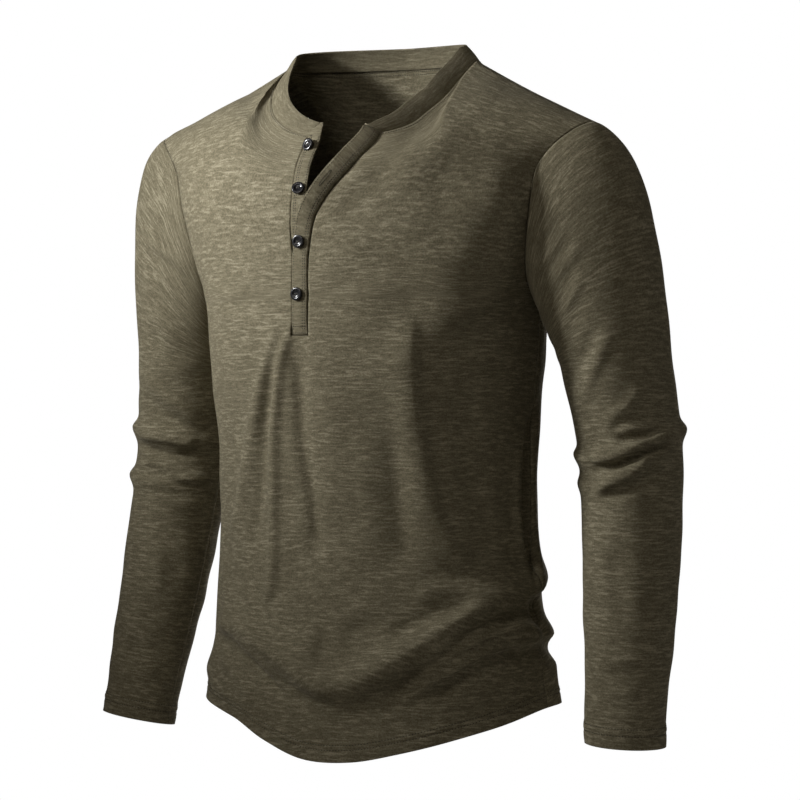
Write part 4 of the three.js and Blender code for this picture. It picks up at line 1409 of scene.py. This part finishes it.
@dataclass(frozen=True)
class Button:
    """A dished button with a raised rim and two holes, painted as dark discs of shade, sewn on with crossed
    thread.
    """

    index: int
    hand: Hand
    across: float
    z: float
    seat: float
    lean: tuple[float, float, float] = (0, 0, 0)

    def build(self, gloss: bpy.types.Material, thread: bpy.types.Material) -> None:
        """Makes the button and its thread."""
        placket = Placket(self.hand)
        climb = placket.climb_at(self.z)
        normal = (Vector(placket.normal(self.across, climb)) + Vector(self.lean)).normalized()
        below, above = (placket.point(self.across, climb + step) for step in (-PROBE, PROBE))
        place = Matrix.Translation(Vector(placket.point(self.across, climb)) * MM + normal * self.seat * MM)
        side = Vector(above - below).cross(normal).normalized()
        up = normal.cross(side).normalized()
        turned = place @ Matrix((side, up, normal)).transposed().to_4x4()
        self.disc(gloss, turned)
        self.sewing(thread, turned)

    def disc(self, gloss: bpy.types.Material, turned: Matrix) -> None:
        """The moulded disc, turned from its half section; its holes are not sunk, but stand as dark discs
        of painted shade on it.
        """
        profile = (
            (0, 0),
            (5.3, 0),
            (6.1, 0.35),
            (6.35, 1.0),
            (6.35, 2.2),
            (6.15, 2.75),
            (5.6, 3.0),
            (4.6, 2.97),
            (3.9, 2.9),
            (3.5, 2.6),
            (3.1, 2.2),
            (1.6, 2.0),
            (0, 2.0),
        )
        bm = bmesh.new()
        ring = [bm.verts.new((x * MM, 0, z * MM)) for x, z in profile]
        edges = [bm.edges.new(pair) for pair in zip(ring[:-1], ring[1:])]
        bmesh.ops.spin(
            bm, geom=ring + edges, cent=(0, 0, 0), axis=(0, 0, 1), angle=math.tau, steps=56, use_merge=True
        )
        bmesh.ops.remove_doubles(bm, verts=bm.verts, dist=1e-6)
        bmesh.ops.recalc_face_normals(bm, faces=bm.faces)
        bmesh.ops.transform(bm, matrix=turned, verts=bm.verts)
        self.finish(bm, f"button_{self.index}_disc", gloss, f"button_{self.index}")

    def sewing(self, thread: bpy.types.Material, turned: Matrix) -> None:
        """Two dark discs of painted shade where the holes are, and the thread between them."""
        bm = bmesh.new()
        # The holes are not cut: these dark discs are painted shade that stands for them.
        for x in (-1.25, 1.25):
            shift = Matrix.Translation((x * MM, 0, 2.04 * MM))
            bmesh.ops.create_cone(
                bm,
                cap_ends=True,
                segments=20,
                radius1=0.72 * MM,
                radius2=0.62 * MM,
                depth=0.12 * MM,
                matrix=turned @ shift,
            )
        size = Matrix.Diagonal((1.35 * MM, 0.2 * MM, 0.18 * MM, 1))
        for y in (-0.22, 0.22):
            shift = Matrix.Translation((0, y * MM, 2.18 * MM)) @ size
            bmesh.ops.create_icosphere(bm, subdivisions=2, radius=1, matrix=turned @ shift)
        self.finish(bm, f"button_{self.index}_thread", thread, None)

    @staticmethod
    def finish(bm: bmesh.types.BMesh, name: str, material: bpy.types.Material, node: str | None) -> None:
        """Turns a mesh in progress into a piece."""
        made = add_mesh(name, bm, material)
        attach(made, "root")
        if node:
            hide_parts(node)
        log.info("%s", name)


BUTTONS = (
    Button(1, Hand.RIGHT, 0.42, -89, 1.2, (-0.19, -0.1, -0.26)),
    Button(2, Hand.RIGHT, 0.46, -133, 0.7, (0.22, 0, 0.16)),
    Button(3, Hand.LEFT, 0.62, -185, 0.45),
    Button(4, Hand.LEFT, 0.62, -235, 0.3),
)


@dataclass(frozen=True)
class Lamp:
    """A soft rectangular lamp that points at the shirt."""

    name: str
    turn: float
    height: float
    distance: float
    size: float
    power: float
    aim: float = -0.3
    spread: float = 180
    colour: tuple[float, float, float] = (1, 1, 1)

    def make(self) -> None:
        """Adds it. Its turn is in degrees round the shirt from the front, towards the wearer's left."""
        light = bpy.data.lights.new(self.name, "AREA")
        light.shape = "SQUARE"
        light.size = self.size
        light.energy = self.power
        light.spread = math.radians(self.spread)
        light.color = self.colour
        made = add(self.name, light)
        turn = math.radians(self.turn)
        made.location = (self.distance * math.sin(turn), -self.distance * math.cos(turn), self.height)
        made.rotation_euler = (Vector((0, 0, self.aim)) - made.location).to_track_quat("-Z", "Y").to_euler()


LAMPS = (
    Lamp("key", -42, 0.24, 1.15, 0.22, 1.55, -0.14, 52),
    Lamp("front", 0, 1.15, 2.4, 1.0, 11, -0.2, 180, (1, 0.94, 0.86)),
    Lamp("rim", 112, 0.1, 2.2, 1.0, 2.8, -0.3, 180, (1, 0.95, 0.88)),
    Lamp("back", 196, -0.1, 2.4, 1.2, 15, -0.35, 180, (1, 0.96, 0.9)),
)


class Studio:
    """Camera, lamps, floor and surroundings."""

    @staticmethod
    def camera() -> None:
        """The photograph's viewpoint."""
        data = bpy.data.cameras.new("camera")
        data.sensor_width = 36
        data.lens = data.sensor_width * EYE_DISTANCE / PICTURE
        data.clip_end = 60
        made = add("camera", data)
        right = Vector((math.cos(EYE_TURN), math.sin(EYE_TURN), 0))
        away = Vector((math.sin(EYE_TURN), -math.cos(EYE_TURN), 0)) * EYE_DISTANCE
        made.location = (away + Vector((0, 0, EYE_Z))) * MM
        middle = PICTURE / 2
        target = right * (middle - EYE_FOOT[0]) * MM + Vector((0, 0, (EYE_Z + EYE_FOOT[1] - middle) * MM))
        made.rotation_euler = (target - made.location).to_track_quat("-Z", "Y").to_euler()
        bpy.context.scene.camera = made

    @staticmethod
    def floor() -> None:
        """A pale round floor below the shirt."""
        bm = bmesh.new()
        bmesh.ops.create_circle(bm, cap_ends=True, segments=96, radius=2.1)
        bmesh.ops.translate(bm, vec=(0, 0, -1.05), verts=bm.verts)
        paint = Paint("floor", "Object")
        tone = paint.place.streaks(3, 3, 2)
        seen = paint.place.node("ShaderNodeLightPath", {}, "Is Camera Ray")
        paint.fill(
            {
                "Base Color": tone.mix((0.80, 0.80, 0.79), (0.84, 0.84, 0.83)),
                "Emission Color": seen.mix((0, 0, 0), (0.55, 0.55, 0.54)),
                "Emission Strength": 1,
                "Roughness": 0.8,
            }
        )
        add_mesh("floor", bm, paint.material)

    @staticmethod
    def surroundings() -> None:
        """White to look at, and dim as a light, so that the lamps shape the cloth."""
        world = bpy.data.worlds.new("surroundings")
        world.use_nodes = True
        seen = Finish(world.node_tree, None).node("ShaderNodeLightPath", {}, "Is Camera Ray")
        colour = seen.mix((0.045, 0.041, 0.036), (1.0, 1.0, 1.0))
        seen.fill(world.node_tree.nodes["Background"], {"Color": colour})
        bpy.context.scene.world = world
        bpy.context.scene.view_settings.view_transform = "Standard"

    def build(self) -> None:
        """Sets the scene."""
        self.camera()
        self.floor()
        self.surroundings()
        for lamp in LAMPS:
            lamp.make()


def main() -> None:
    """Builds the shirt and its studio."""
    logging.basicConfig(level=logging.INFO, format="%(message)s")
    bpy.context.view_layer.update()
    Studio().build()
    jersey = Jersey().make()
    band_jersey = Jersey("band_jersey", contrast=0.7).make()
    thread = ThreadWithPaintedShade().make()
    gloss = Gloss().make()
    BodyCloth(jersey, thread).build()
    for hand in Hand:
        SleeveCloth(hand, jersey, thread).build()
    NeckCloth(band_jersey, thread).build()
    for button in BUTTONS:
        button.build(gloss, thread)


if __name__ == "__main__":
    main()
